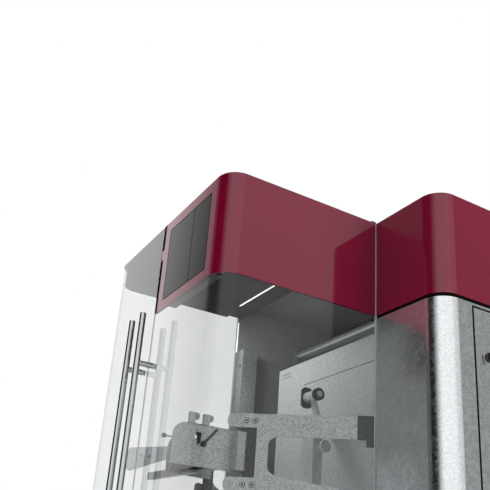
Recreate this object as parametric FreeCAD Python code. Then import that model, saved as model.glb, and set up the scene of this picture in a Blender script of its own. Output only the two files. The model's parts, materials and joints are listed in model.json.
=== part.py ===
import FreeCAD, Part
import math
import os
from FreeCAD import Vector

# Floor-standing packaging machine: a glazed front chamber with two curved door leaves,
# and a galvanised rear housing that stands out to the right.
# X = 0 is the joint between the leaves, Y = 0 the front of the glass, Z = 0 the floor.
# Millimetres throughout. At export Y moves so that the origin lies amid the floor anchors.

# Cabinet
HEIGHT = 2200.0
CHAMBER_WIDTH = 980.0
CHAMBER_DEPTH = 597.0
HOUSING_DEPTH = 700.0
HOUSING_OVERHANG = 295.0
CORNER_RADIUS = 70.0
HEADER_HEIGHT = 350.0
SHEET = 2.5
SHADOW_GAP = 12.0
GAP_STRIP_LAP = 8.0

# Plinth, feet and floor
PLINTH_BOTTOM = 60.0
PLINTH_HEIGHT = 100.0
RAIL_WIDTH = 60.0
FLOOR_SHEET = 3.0
FLOOR_INSET = 20.0
FOOT_INSET = 35.0
FOOT_PAD_RADIUS = 40.0
FOOT_PAD_HEIGHT = 12.0
FOOT_STEM_RADIUS = 10.0
FOOT_STEM_DEPTH = 50.0
FOOT_NUT_RADIUS = 17.0
FOOT_NUT_HEIGHT = 16.0
ANCHOR_REACH = 65.0
ANCHOR_HOLE_RADIUS = 7.0
ANCHOR_LUG_RADIUS = 18.0

# Door leaves
GLASS = 8.0
LEAF_FLOOR_GAP = 10.0
LEAF_MIDDLE_GAP = 4.0
LEAF_REAR_GAP = 5.0
PIVOT_FROM_EDGE = 5.5
PIVOT_PIN_RADIUS = 4.0
PIVOT_PIN_DEPTH = 25.0
PIVOT_BLOCK_WIDTH = 28.0
PIVOT_BLOCK_LENGTH = 52.0
PIVOT_BLOCK_Z = 50.0
PIVOT_SHOE = 5.0
PIVOT_EAR_LENGTH = 20.0
PIVOT_EAR_WALL = 2.5
RUNNING_CLEARANCE = 0.05
SEAT_CLEARANCE = 0.1
FREE_CLEARANCE = 0.4

# Door handles
HANDLE_RADIUS = 11.0
HANDLE_SPREAD = 50.0
HANDLE_STANDOFF = 60.0
HANDLE_BELOW_HEADER = 26.0
HANDLE_LENGTH = 1100.0
HANDLE_END_FILLET = 2.0
STANDOFF_INSET = 178.0
STANDOFF_RADIUS = 9.5
STANDOFF_BOLT_RADIUS = 6.0
STANDOFF_WASHER_RADIUS = 10.0
STANDOFF_WASHER = 2.0

# Touch panel in the right leaf's header
SCREEN_WIDTH = 322.0
SCREEN_HEIGHT = 275.0
SCREEN_FROM_JOINT = 61.0
SCREEN_FROM_TOP = 40.0
SCREEN_GLASS = 6.0
SCREEN_GAP = 1.0
PANEL_LIP = 12.0
PANEL_DEPTH = 50.0

# Roof
ROOF_SLAB = 82.0
ROOF_INSET = 16.0
ROOF_PANEL_CLEARANCE = 8.0
ROOF_PIVOT_CLEARANCE = 4.0
ROOF_CAP = 4.0
ROOF_CAP_GAP = 2.0
LAMP_WIDTH = 6.0
LAMP_HEIGHT = 8.0
LAMP_LENGTH = 600.0
LAMP_FROM_FRONT = 500.0

# Service door on the right side, with its hinges and lock
SERVICE_FROM_CORNER = 60.0
SERVICE_FROM_REAR = 60.0
SERVICE_BOTTOM = 260.0
SERVICE_BELOW_HEADER = 8.0
SERVICE_GAP = 6.0
SERVICE_FLANGE = 20.0
HINGE_KNUCKLE_RADIUS = 6.0
HINGE_PIN_RADIUS = 3.0
HINGE_STAND_OFF = 0.5
HINGE_LEAF_WIDTH = 30.0
HINGE_KNUCKLE_LENGTH = 38.0
HINGE_FROM_END = 180.0
LOCK_FROM_EDGE = 57.0
LOCK_FROM_TOP = 159.0
LOCK_STEM_RADIUS = 6.0
LOCK_KNOB_RADIUS = 15.0
LOCK_KNOB_HEIGHT = 9.0
LOCK_GRIP_WIDTH = 8.0
LOCK_CAM_DEPTH = 25.0
LOCK_CAM_THICKNESS = 5.0
LOCK_CAM_LENGTH = 66.0
LOCK_CAM_WIDTH = 18.0

# Operator plate with the emergency button and the main switch
PLATE_HEIGHT = 180.0
PLATE_WIDTH = 50.0
PLATE_BOTTOM = 1000.0
PLATE_THICKNESS = 3.0
STOP_FROM_BOTTOM = 130.0
STOP_STEM_RADIUS = 11.0
STOP_HEAD_RADIUS = 19.0
STOP_HEAD_HEIGHT = 14.0
STOP_STAND_OFF = 10.0
STOP_STEM_LENGTH = 28.0
STOP_COLLAR_RADIUS = 15.0
SWITCH_FROM_BOTTOM = 50.0
SWITCH_STEM_RADIUS = 5.0
SWITCH_DISC_RADIUS = 18.0
SWITCH_DISC = 8.0
SWITCH_GRIP_HEIGHT = 14.0
SWITCH_GRIP_WIDTH = 9.0
STEM_HOLE_MARGIN = 1.5

# Control gear in the bay behind the service door, and the supply inlet
CONTROL_STAND_OFF = 15.0
CONTROL_LENGTH = 440.0
CONTROL_HEIGHT = 1200.0
CONTROL_BOTTOM = 500.0
CONTROL_FROM_FRONT = 160.0
CONTROL_SPACER_RADIUS = 8.0
CONTROL_SPACER_INSET = 30.0
MODULE_ROWS = 4
MODULES_PER_ROW = 4
MODULE_WIDTH = 84.0
MODULE_HEIGHT = 190.0
MODULE_DEPTH = 80.0
MODULE_DEPTH_STEP = 12.0
INLET_WIDTH = 80.0
INLET_HEIGHT = 60.0
INLET_DEPTH = 24.0
INLET_FROM_SIDE = 105.0
INLET_CENTRE_HEIGHT = 330.0
INLET_BORE_RADIUS = 12.5

# Film magazine with its hatch, guide roller and reel
MAGAZINE_SETBACK = 128.0
MAGAZINE_LEFT = 305.0
MAGAZINE_BELOW_TOP = 338.0
MAGAZINE_RETURN = 150.0
SLOT_ROWS = 2
SLOTS_PER_ROW = 5
SLOT_LENGTH = 9.0
SLOT_WIDTH = 4.0
SLOT_PITCH = 14.0
SLOT_FROM_LEFT = 22.0
SLOT_FROM_TOP = 24.0
HATCH_LEFT = 108.0
HATCH_RIGHT_INSET = 60.0
HATCH_BELOW_MAGAZINE_TOP = 104.0
HATCH_BOTTOM = 900.0
HATCH_SHEET = 3.0
ROLLER_RADIUS = 25.0
ROLLER_LEFT = 222.0
ROLLER_RIGHT_INSET = 55.0
ROLLER_SETBACK = 50.0
ROLLER_HEIGHT = 65.0
ROLLER_JOURNAL_RADIUS = 8.0
BRACKET_SHEET = 6.0
BRACKET_LENGTH = 60.0
BRACKET_HEAD_RADIUS = 24.0
REEL_RADIUS = 200.0
REEL_CORE_RADIUS = 38.0
REEL_WIDTH = 560.0
REEL_FROM_REAR = 270.0
REEL_AXIS_HEIGHT = 820.0
REEL_JOURNAL_RADIUS = 15.0
REEL_BRACKET_LENGTH = 120.0
REEL_GAP = 3.0

# Swing arms with their shafts, bearings and motors
ARM_ROOT_INSET = 45.0
ARM_ROOT_SETBACK = 85.0
ARM_ANGLE = 39.8
ARM_LENGTH = 532.5
ARM_SHEET = 6.0
ARM_BELOW_TOP = 675.0
ARM_TIP_HEIGHT = 262.0
ARM_ROOT_HEIGHT = 320.0
ARM_BAR_HEIGHT = 76.0
ARM_LOWER_BAR_HEIGHT = 64.0
ARM_EAR_LENGTH = 103.0
ARM_EAR_HEIGHT = 48.0
ARM_EAR_RADIUS = 20.0
ARM_STILE_WIDTH = 41.0
ARM_WINDOW_FROM_ROOT = 48.0
ARM_WINDOW_RADIUS = 32.0
ARM_INNER_RADIUS = 5.0
HUB_RADIUS = 35.0
SHAFT_RADIUS = 20.0
SHAFT_ABOVE_BEARING = 15.0
BEARING_HALF_WIDTH = 32.0
BEARING_HEIGHT = 40.0
BEARING_GAP = 20.0
MOTOR_RADIUS = 35.0
MOTOR_LENGTH = 210.0
MOTOR_FLANGE_RADIUS = 39.0
MOTOR_FLANGE = 14.0
MOTOR_BORE_DEPTH = 34.0
MOTOR_FIN_COUNT = 9
MOTOR_FIN_DEPTH = 4.0

# Pivot bar between an arm's ears, with its screws
PIVOT_BAR_WIDTH = 44.0
PIVOT_BAR_DEPTH = 20.0
PIVOT_LUG_WIDTH = 28.0
PIVOT_LUG_PROUD = 2.0
PIVOT_LUG_GAP = 2.0
SCREW_SPACING = 30.0
SCREW_FROM_EAR_FOOT = 7.0
SCREW_HEAD_RADIUS = 7.0
SCREW_HEAD = 2.5
SCREW_SHANK_RADIUS = 4.0
SCREW_DEPTH = 14.0

# Gripper at each arm's tip
GRIPPER_FROM_TIP = 5.0
GRIPPER_SHEET = 6.0
GRIPPER_FORWARD = 200.0
LEFT_GRIPPER_FORWARD = 118.0
GRIPPER_BACK = 62.0
GRIPPER_BELOW_ARM_TOP = 60.0
GRIPPER_HEIGHT = 137.0
GRIPPER_CORNER_RADIUS = 44.0
GRIPPER_BLOCK_LENGTH = 42.0
GRIPPER_BLOCK_WIDTH = 36.0
GRIPPER_BLOCK_Z = 129.0
GRIPPER_BLOCK_DROP = 4.0
NOTCH_SIZE = 28.0
NOTCH_FROM_FRONT = 75.0
NOTCH_DROP = 36.0
NOTCH_RADIUS = 4.0
JAW_HEIGHT = 27.0
JAW_DEPTH = 16.0
JAW_FROM_FRONT = 163.0
JAW_LEAN = 0.107
JAW_TAIL = 238.0
JAW_MIDDLE_GAP = 6.0
JAW_PAD = 6.0
JAW_PAD_HEIGHT = 9.0
JAW_PAD_MARGIN = 2.0
THUMB_FROM_FRONT = 51.0
THUMB_SPACING = 52.0
THUMB_RISE = 25.0
THUMB_LUG_LENGTH = 20.0
THUMB_LUG_DEPTH = 16.0
THUMB_LUG_HEIGHT = 36.0
THUMB_KNOB_RADIUS = 11.0
THUMB_KNOB_LENGTH = 12.0
THUMB_STEM_RADIUS = 3.0
THUMB_STEM_END = 4.0
LEVER_FROM_FRONT = 111.0
LEVER_DROP = 62.0
LEVER_LENGTH = 73.0
LEVER_WIDTH = 8.0
LEVER_SHEET = 6.0
LEVER_HUB_RADIUS = 10.0
LEVER_PIN_RADIUS = 4.0
LEVER_TILT = 50.0
GUARD_LENGTH = 172.0
GUARD_FAR_HEIGHT = 88.0
GUARD_NEAR_HEIGHT = 43.0
GUARD_DROP = 45.0
GUARD_TURN = 33.0
GUARD_SHEET = 6.0
GUARD_FROM_FRONT = 2.0
GUARD_CORNER_RADIUS = 14.0

# Cam follower post behind the right arm, and the stay on the left wall
FOLLOWER_X = 118.0
FOLLOWER_SETBACK = 11.0
FOLLOWER_BELOW_TOP = 553.0
FOLLOWER_RADIUS = 23.0
FOLLOWER_WIDTH = 14.0
FOLLOWER_AXLE_RADIUS = 7.0
FOLLOWER_CAP_RADIUS = 11.0
FOLLOWER_CAP = 3.0
FOLLOWER_BUSH_RADIUS = 20.0
FOLLOWER_BUSH_LEFT = 33.0
FOLLOWER_BUSH_RIGHT = 30.0
FOLLOWER_YOKE_WIDTH = 44.0
FOLLOWER_YOKE_HEIGHT = 76.0
FOLLOWER_YOKE = 8.0
FOLLOWER_YOKE_RADIUS = 16.0
FOLLOWER_POST_WIDTH = 18.0
FOLLOWER_POST_LEAN = 46.0
FOLLOWER_POST_LENGTH = 122.0
FOLLOWER_COLUMN_LEFT = 29.0
FOLLOWER_COLUMN_WIDTH = 74.0
FOLLOWER_COLUMN_DEPTH = 40.0
END_STOP_RADIUS = 22.0
END_STOP = 9.0
END_STOP_REACH = 49.0
END_STOP_DROP = 75.0
STAY_SETBACK = 17.0
STAY_WIDTH = 42.0
STAY_BELOW_TOP = 222.0
STAY_SLOPE = 4.0
STAY_LENGTH = 338.0
STAY_RETURN = 74.0
STAY_HOLE_RADIUS = 7.0
STAY_HOLE_DROP = 76.0

# Bag table on two columns
TABLE_WIDTH = 480.0
TABLE_FRONT = 120.0
TABLE_TOP = 720.0
TABLE_SHEET = 12.0
CARRIAGE_DEPTH = 80.0
CARRIAGE_HEIGHT = 80.0
COLUMN_RADIUS = 20.0
COLUMN_FROM_FRONT = 480.0
COLUMN_SPACING = 360.0
COLUMN_TOP = 1100.0
COLUMN_FOOT_RADIUS = 45.0
COLUMN_FOOT = 10.0
COLLAR_RADIUS = 32.0
COLLAR_HEIGHT = 20.0

# Places that follow from the sizes above
HALF = CHAMBER_WIDTH / 2
REAR_Y = CHAMBER_DEPTH + HOUSING_DEPTH
RIGHT_X = HALF + HOUSING_OVERHANG
HEADER_Z = HEIGHT - HEADER_HEIGHT
PLINTH_TOP = PLINTH_BOTTOM + PLINTH_HEIGHT
FLOOR_TOP = PLINTH_TOP + FLOOR_SHEET
ORIGIN_Y = (FOOT_INSET + REAR_Y - FOOT_INSET) / 2
LEAF_BOTTOM = PLINTH_TOP + LEAF_FLOOR_GAP
LEAF_REAR = CHAMBER_DEPTH - LEAF_REAR_GAP
PIVOT_X = HALF - GLASS
HANDLE_TOP = HEADER_Z - HANDLE_BELOW_HEADER
PIVOT_Y = LEAF_REAR - PIVOT_FROM_EDGE
SLAB_BOTTOM = HEIGHT - ROOF_SLAB
CAP_BOTTOM = HEIGHT + ROOF_CAP_GAP
ROOF_TOP = CAP_BOTTOM + ROOF_CAP
INNER_WALL_X = HALF - SHEET
SHELL_TOP = HEADER_Z - SHADOW_GAP
SERVICE_Y = CHAMBER_DEPTH + CORNER_RADIUS + SERVICE_FROM_CORNER
SERVICE_REAR = REAR_Y - SERVICE_FROM_REAR
SERVICE_TOP = SHELL_TOP - SERVICE_BELOW_HEADER
HINGE_X = RIGHT_X + HINGE_KNUCKLE_RADIUS + HINGE_STAND_OFF
HINGE_Y = SERVICE_REAR
LOCK_Y = SERVICE_Y + LOCK_FROM_EDGE
LOCK_Z = SERVICE_TOP - LOCK_FROM_TOP
PLATE_Y = CHAMBER_DEPTH + CORNER_RADIUS + SERVICE_FROM_CORNER / 2
PLATE_FRONT = RIGHT_X + PLATE_THICKNESS
STOP_Z = PLATE_BOTTOM + STOP_FROM_BOTTOM
SWITCH_Z = PLATE_BOTTOM + SWITCH_FROM_BOTTOM
MAGAZINE_Y = CHAMBER_DEPTH + MAGAZINE_SETBACK
MAGAZINE_TOP = HEIGHT - MAGAZINE_BELOW_TOP
HATCH_TOP = MAGAZINE_TOP - HATCH_BELOW_MAGAZINE_TOP
ROLLER_Y = MAGAZINE_Y + ROLLER_SETBACK
ROLLER_Z = MAGAZINE_TOP + ROLLER_HEIGHT
ROLLER_RIGHT = INNER_WALL_X - ROLLER_RIGHT_INSET
REEL_Y = REAR_Y - REEL_FROM_REAR
REEL_MIDDLE = (INNER_WALL_X - MAGAZINE_LEFT) / 2
ARM_ROOT_X = HALF - ARM_ROOT_INSET
ARM_ROOT_Y = CHAMBER_DEPTH + ARM_ROOT_SETBACK
ARM_TURN = 270.0 - ARM_ANGLE
ARM_TOP = HEIGHT - ARM_BELOW_TOP
ARM_BOTTOM = ARM_TOP - ARM_ROOT_HEIGHT
UPPER_BEARING_Z = ARM_TOP + BEARING_GAP
LOWER_BEARING_Z = ARM_BOTTOM - BEARING_GAP - BEARING_HEIGHT
TIP_X = ARM_ROOT_X + ARM_LENGTH * math.cos(math.radians(ARM_TURN))
TIP_Y = ARM_ROOT_Y + ARM_LENGTH * math.sin(math.radians(ARM_TURN))
GRIPPER_X = TIP_X + GRIPPER_FROM_TIP - GRIPPER_SHEET / 2
GRIPPER_FRONT = TIP_Y - GRIPPER_FORWARD
GRIPPER_TOP = ARM_TOP - GRIPPER_BELOW_ARM_TOP
GRIPPER_BOTTOM = GRIPPER_TOP - GRIPPER_HEIGHT
GRIPPER_FACE = GRIPPER_X + GRIPPER_SHEET
LEFT_GRIPPER_FRONT = TIP_Y - LEFT_GRIPPER_FORWARD
THUMB_X = GRIPPER_X + THUMB_LUG_DEPTH / 2
THUMB_Y = GRIPPER_FRONT + THUMB_FROM_FRONT
THUMB_Z = GRIPPER_TOP + THUMB_RISE
LEVER_Y = GRIPPER_FRONT + LEVER_FROM_FRONT
LEVER_Z = GRIPPER_TOP - LEVER_DROP
FOLLOWER_Y = CHAMBER_DEPTH + FOLLOWER_SETBACK
FOLLOWER_Z = HEIGHT - FOLLOWER_BELOW_TOP
FOLLOWER_FOOT = FOLLOWER_Z - FOLLOWER_POST_LENGTH
BUSH_LEFT = FOLLOWER_X - FOLLOWER_BUSH_LEFT
BUSH_RIGHT = FOLLOWER_X + FOLLOWER_BUSH_RIGHT
STAY_Y = CHAMBER_DEPTH + STAY_SETBACK
STAY_TOP = HEIGHT - STAY_BELOW_TOP
STAY_BOTTOM = STAY_TOP - STAY_LENGTH
TABLE_REAR = COLUMN_FROM_FRONT + CARRIAGE_DEPTH / 2
CARRIAGE_BOTTOM = TABLE_TOP - CARRIAGE_HEIGHT


def block(x0, x1, y0, y1, z0, z1):
    """A box between two corners."""
    return Part.makeBox(x1 - x0, y1 - y0, z1 - z0, Vector(x0, y0, z0))


def rod(start, direction, radius, length):
    """A round bar from a start point along a direction."""
    return Part.makeCylinder(radius, length, Vector(*start), Vector(*direction))


def joined(*shapes):
    """One clean solid out of touching or overlapping pieces."""
    return shapes[0].multiFuse(list(shapes[1:])).removeSplitter()


def rounded_face(corners):
    """A flat face in XY through corners (x, y, radius), each rounded by its radius."""
    points = [Vector(x, y, 0) for x, y, radius in corners]
    rounds = []
    for i, (x, y, radius) in enumerate(corners):
        before = (points[i - 1] - points[i]).normalize()
        after = (points[(i + 1) % len(points)] - points[i]).normalize()
        half_angle = before.getAngle(after) / 2
        reach = radius / math.tan(half_angle)
        middle = (before + after).normalize() * (radius / math.sin(half_angle) - radius)
        rounds.append((points[i] + before * reach, points[i] + middle, points[i] + after * reach))
    edges = []
    for i, (start, middle, end) in enumerate(rounds):
        if corners[i][2] > 0:
            edges.append(Part.Arc(start, middle, end).toShape())
        edges.append(Part.LineSegment(end, rounds[(i + 1) % len(rounds)][0]).toShape())
    return Part.Face(Part.Wire(edges))


def slab(corners, z0, z1):
    """A level plate between two heights."""
    plate = rounded_face(corners).extrude(Vector(0, 0, z1 - z0))
    plate.translate(Vector(0, 0, z0))
    return plate


def plate_facing_y(corners, y0, y1):
    """An upright plate whose corners are (x, z, radius)."""
    plate = rounded_face(corners).extrude(Vector(0, 0, y1 - y0))
    plate.rotate(Vector(), Vector(1, 0, 0), 90)
    plate.translate(Vector(0, y1, 0))
    return plate


def plate_facing_x(corners, x0, x1):
    """An upright plate whose corners are (y, z, radius)."""
    plate = rounded_face(corners).extrude(Vector(0, 0, x1 - x0))
    plate.rotate(Vector(), Vector(1, 1, 1), 120)
    plate.translate(Vector(x0, 0, 0))
    return plate


def rectangle(u0, u1, v0, v1, radius=0.0):
    """Corners of a rectangle with one radius."""
    return [(u0, v0, radius), (u1, v0, radius), (u1, v1, radius), (u0, v1, radius)]


def bent_strip(x_start, y_front, x_side, y_end, radius, thickness, z0, z1):
    """An upright sheet that runs along the front, round a corner and back along the right side."""
    outer = [(x_start, y_front, 0), (x_side, y_front, radius), (x_side, y_end, 0)]
    inner_x = x_side - thickness
    inner_y = y_front + thickness
    inner = [(inner_x, y_end, 0), (inner_x, inner_y, radius - thickness), (x_start, inner_y, 0)]
    return slab(outer + inner, z0, z1)


def mirrored(shape):
    """The same piece on the other side of the joint between the leaves."""
    return shape.mirror(Vector(), Vector(1, 0, 0))


def both_sides(shape):
    """A piece and its mirror image as one group."""
    return Part.makeCompound(shape.Solids + mirrored(shape).Solids)


def foot_places():
    """Centres of the feet: the four with floor anchors first, then the two under the overhang."""
    side = HALF - FOOT_INSET
    rear = REAR_Y - FOOT_INSET
    far = RIGHT_X - FOOT_INSET
    anchored = [(-side, FOOT_INSET), (side, FOOT_INSET), (-side, rear), (side, rear)]
    return anchored, [(far, CHAMBER_DEPTH + FOOT_INSET), (far, rear)]


def base_frame():
    """Welded plinth under the whole plan, decked under the control bay, bored for pivots and feet."""
    front = slab([(-HALF, 0, CORNER_RADIUS), (HALF, 0, CORNER_RADIUS),
                  (HALF, CHAMBER_DEPTH, 0), (-HALF, CHAMBER_DEPTH, 0)], PLINTH_BOTTOM, PLINTH_TOP)
    rear = slab([(-HALF, CHAMBER_DEPTH, 0), (RIGHT_X, CHAMBER_DEPTH, CORNER_RADIUS),
                 (RIGHT_X, REAR_Y, 0), (-HALF, REAR_Y, 0)], PLINTH_BOTTOM, PLINTH_TOP)
    frame = joined(front, rear)
    inner_x = HALF - RAIL_WIDTH
    cross = CHAMBER_DEPTH - RAIL_WIDTH / 2
    rear_y = REAR_Y - RAIL_WIDTH
    deck = PLINTH_TOP - FLOOR_SHEET
    openings = [(-inner_x, inner_x, RAIL_WIDTH, cross, PLINTH_TOP),
                (-inner_x, inner_x, cross + RAIL_WIDTH, rear_y, PLINTH_TOP),
                (HALF, RIGHT_X - RAIL_WIDTH, CHAMBER_DEPTH + RAIL_WIDTH, rear_y, deck)]
    for x0, x1, y0, y1, top in openings:
        frame = frame.cut(block(x0, x1, y0, y1, PLINTH_BOTTOM, top))
    for x in (-PIVOT_X, PIVOT_X):
        frame = frame.cut(rod((x, PIVOT_Y, PLINTH_TOP - PIVOT_PIN_DEPTH), (0, 0, 1),
                              PIVOT_PIN_RADIUS + RUNNING_CLEARANCE, PIVOT_PIN_DEPTH))
    anchored, plain = foot_places()
    for x, y in anchored + plain:
        frame = frame.cut(rod((x, y, PLINTH_BOTTOM), (0, 0, 1),
                              FOOT_STEM_RADIUS + SEAT_CLEARANCE, FOOT_STEM_DEPTH))
    return frame


def foot(x, y, lug_direction):
    """Levelling foot: pad, stem and lock nut, with a drilled floor lug where it is anchored."""
    pad = rod((x, y, 0), (0, 0, 1), FOOT_PAD_RADIUS, FOOT_PAD_HEIGHT)
    pad = pad.makeChamfer(FOOT_PAD_HEIGHT / 3, [pad.Edges[0]])
    stem_length = PLINTH_BOTTOM + FOOT_STEM_DEPTH - SEAT_CLEARANCE - FOOT_PAD_HEIGHT
    stem = rod((x, y, FOOT_PAD_HEIGHT), (0, 0, 1), FOOT_STEM_RADIUS, stem_length)
    nut_bottom = PLINTH_BOTTOM - FOOT_NUT_HEIGHT
    hexagon = [(x + FOOT_NUT_RADIUS * math.cos(math.radians(60 * i)),
                y + FOOT_NUT_RADIUS * math.sin(math.radians(60 * i)), 0) for i in range(6)]
    pieces = [pad, stem, slab(hexagon, nut_bottom, PLINTH_BOTTOM)]
    if lug_direction:
        hole_x = x + lug_direction * ANCHOR_REACH
        pieces.append(block(min(x, hole_x), max(x, hole_x), y - ANCHOR_LUG_RADIUS,
                            y + ANCHOR_LUG_RADIUS, 0, FOOT_PAD_HEIGHT / 2))
        pieces.append(rod((hole_x, y, 0), (0, 0, 1), ANCHOR_LUG_RADIUS, FOOT_PAD_HEIGHT / 2))
    whole = joined(*pieces)
    if lug_direction:
        whole = whole.cut(rod((hole_x, y, 0), (0, 0, 1), ANCHOR_HOLE_RADIUS, FOOT_PAD_HEIGHT))
    return whole


def levelling_feet():
    anchored, plain = foot_places()
    feet = [foot(x, y, math.copysign(1, x)) for x, y in anchored]
    return Part.makeCompound(feet + [foot(x, y, 0) for x, y in plain])


def floor_pan():
    """Floor sheet of the chamber and the film bay."""
    side = HALF - FLOOR_INSET - GLASS
    return slab([(-side, FLOOR_INSET, CORNER_RADIUS), (side, FLOOR_INSET, CORNER_RADIUS),
                 (side, CHAMBER_DEPTH, 0), (INNER_WALL_X, CHAMBER_DEPTH, 0),
                 (INNER_WALL_X, REAR_Y - SHEET, 0), (-INNER_WALL_X, REAR_Y - SHEET, 0),
                 (-INNER_WALL_X, CHAMBER_DEPTH, 0), (-side, CHAMBER_DEPTH, 0)], PLINTH_TOP, FLOOR_TOP)


def roof_outline(inset):
    """Plan of the roof box, stepped back behind the touch panel and narrower between the door pivots."""
    side = HALF - ROOF_INSET - inset
    front = ROOF_INSET + inset
    radius = CORNER_RADIUS - ROOF_INSET - inset
    recess = GLASS + PANEL_DEPTH + ROOF_PANEL_CLEARANCE + inset
    step = SCREEN_FROM_JOINT - PANEL_LIP - ROOF_PANEL_CLEARANCE - inset
    neck = PIVOT_X - PIVOT_BLOCK_WIDTH - ROOF_PIVOT_CLEARANCE - inset
    block_swing = math.hypot(PIVOT_BLOCK_WIDTH, PIVOT_BLOCK_LENGTH - PIVOT_FROM_EDGE)
    neck_front = PIVOT_Y - block_swing - ROOF_PIVOT_CLEARANCE - inset
    return [(-side, front, radius), (step, front, 0), (step, recess, 0), (side, recess, radius),
            (side, neck_front, 0), (neck, neck_front, 0), (neck, CHAMBER_DEPTH, 0),
            (-neck, CHAMBER_DEPTH, 0), (-neck, neck_front, 0), (-side, neck_front, 0)]


def front_roof():
    """Sheet roof box just inside the leaves, under a thin cap with ears for their upper pivots."""
    body = slab(roof_outline(0), SLAB_BOTTOM, CAP_BOTTOM)
    body = body.cut(slab(roof_outline(SHEET), SLAB_BOTTOM + SHEET, CAP_BOTTOM))
    side = HALF - ROOF_INSET
    radius = CORNER_RADIUS - ROOF_INSET
    cap = slab([(-side, ROOF_INSET, radius), (side, ROOF_INSET, radius),
                (side, CHAMBER_DEPTH, 0), (-side, CHAMBER_DEPTH, 0)], CAP_BOTTOM, ROOF_TOP)
    reach = PIVOT_X + PIVOT_PIN_RADIUS + PIVOT_EAR_WALL
    ears = block(-reach, reach, CHAMBER_DEPTH - PIVOT_EAR_LENGTH, CHAMBER_DEPTH, CAP_BOTTOM, ROOF_TOP)
    roof = joined(body, cap, ears)
    for x in (-PIVOT_X, PIVOT_X):
        roof = roof.cut(rod((x, PIVOT_Y, CAP_BOTTOM), (0, 0, 1),
                            PIVOT_PIN_RADIUS + RUNNING_CLEARANCE, ROOF_CAP))
    return roof


def lamp_strip():
    """Light strip under the roof box."""
    half = LAMP_LENGTH / 2
    y0 = LAMP_FROM_FRONT - LAMP_WIDTH / 2
    return block(-half, half, y0, y0 + LAMP_WIDTH, SLAB_BOTTOM - LAMP_HEIGHT, SLAB_BOTTOM)


def rear_roof():
    """Roof sheet between the housing's walls, folded up behind the front cap to carry it."""
    right = RIGHT_X - SHEET
    rear = REAR_Y - SHEET
    behind_band = CHAMBER_DEPTH + SHEET
    sheet = slab([(-INNER_WALL_X, CHAMBER_DEPTH, 0), (HALF, CHAMBER_DEPTH, 0), (HALF, behind_band, 0),
                  (right, behind_band, CORNER_RADIUS - SHEET), (right, rear, 0),
                  (-INNER_WALL_X, rear, 0)], HEIGHT - SHEET, HEIGHT)
    side = HALF - ROOF_INSET
    return joined(sheet, block(-side, side, CHAMBER_DEPTH, behind_band, HEIGHT - SHEET, ROOF_TOP))


def left_wall():
    return block(-HALF, -INNER_WALL_X, CHAMBER_DEPTH, REAR_Y - SHEET, PLINTH_TOP, HEIGHT)


def partition_wall():
    """Wall between the film bay and the control bay."""
    return block(INNER_WALL_X, HALF, CHAMBER_DEPTH, REAR_Y - SHEET, PLINTH_TOP, HEIGHT - SHEET)


def rear_wall():
    wall = block(-HALF, RIGHT_X - SHEET, REAR_Y - SHEET, REAR_Y, PLINTH_TOP, HEIGHT)
    return wall.cut(rod((RIGHT_X - INLET_FROM_SIDE, REAR_Y - SHEET, INLET_CENTRE_HEIGHT), (0, 1, 0),
                        INLET_BORE_RADIUS, SHEET))


def rear_shell():
    """Galvanised skin of the housing: front face, rounded corner and right side with its openings."""
    shell = bent_strip(HALF, CHAMBER_DEPTH, RIGHT_X, REAR_Y, CORNER_RADIUS, SHEET, PLINTH_TOP, SHELL_TOP)
    inside = RIGHT_X - SHEET
    shell = shell.cut(block(inside, RIGHT_X, SERVICE_Y, SERVICE_REAR, SERVICE_BOTTOM, SERVICE_TOP))
    for z, radius in ((STOP_Z, STOP_STEM_RADIUS), (SWITCH_Z, SWITCH_STEM_RADIUS)):
        shell = shell.cut(rod((inside, PLATE_Y, z), (1, 0, 0), radius + STEM_HOLE_MARGIN, SHEET))
    return shell


def rear_header_band():
    return bent_strip(HALF, CHAMBER_DEPTH, RIGHT_X, REAR_Y, CORNER_RADIUS, SHEET, HEADER_Z, HEIGHT)


def shadow_gap_strip():
    """Dark strip behind the gap between the housing's skin and its header."""
    return bent_strip(HALF, CHAMBER_DEPTH + SHEET, RIGHT_X - SHEET, REAR_Y - SHEET, CORNER_RADIUS - SHEET,
                      SHEET, SHELL_TOP - GAP_STRIP_LAP, HEADER_Z + GAP_STRIP_LAP)


def leaf(z0, z1):
    """A stretch of the right leaf: front, rounded corner and side in one bent pane."""
    return bent_strip(LEAF_MIDDLE_GAP / 2, 0, HALF, LEAF_REAR, CORNER_RADIUS, GLASS, z0, z1)


def standoff_heights():
    return (HANDLE_TOP - STANDOFF_INSET, HANDLE_TOP - HANDLE_LENGTH + STANDOFF_INSET)


def drilled_for_handle(pane):
    for z in standoff_heights():
        pane = pane.cut(rod((HANDLE_SPREAD, 0, z), (0, 1, 0), STANDOFF_BOLT_RADIUS + SEAT_CLEARANCE, GLASS))
    return pane


def screen_rectangle(margin):
    left = SCREEN_FROM_JOINT
    top = HEIGHT - SCREEN_FROM_TOP
    return (left - margin, left + SCREEN_WIDTH + margin, top - SCREEN_HEIGHT - margin, top + margin)


def right_header_panel():
    """Lacquered upper band of the right leaf, cut out for the touch panel."""
    x0, x1, z0, z1 = screen_rectangle(SCREEN_GAP)
    return leaf(HEADER_Z, HEIGHT).cut(block(x0, x1, 0, GLASS, z0, z1))


def touch_screen():
    x0, x1, z0, z1 = screen_rectangle(0)
    return block(x0, x1, 0, SCREEN_GLASS, z0, z1)


def touch_panel_housing():
    """Box behind the header that carries the screen through the cut-out."""
    x0, x1, z0, z1 = screen_rectangle(PANEL_LIP)
    box = block(x0, x1, GLASS, GLASS + PANEL_DEPTH, z0, z1)
    x0, x1, z0, z1 = screen_rectangle(0)
    return joined(box, block(x0, x1, SCREEN_GLASS, GLASS, z0, z1))


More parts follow.
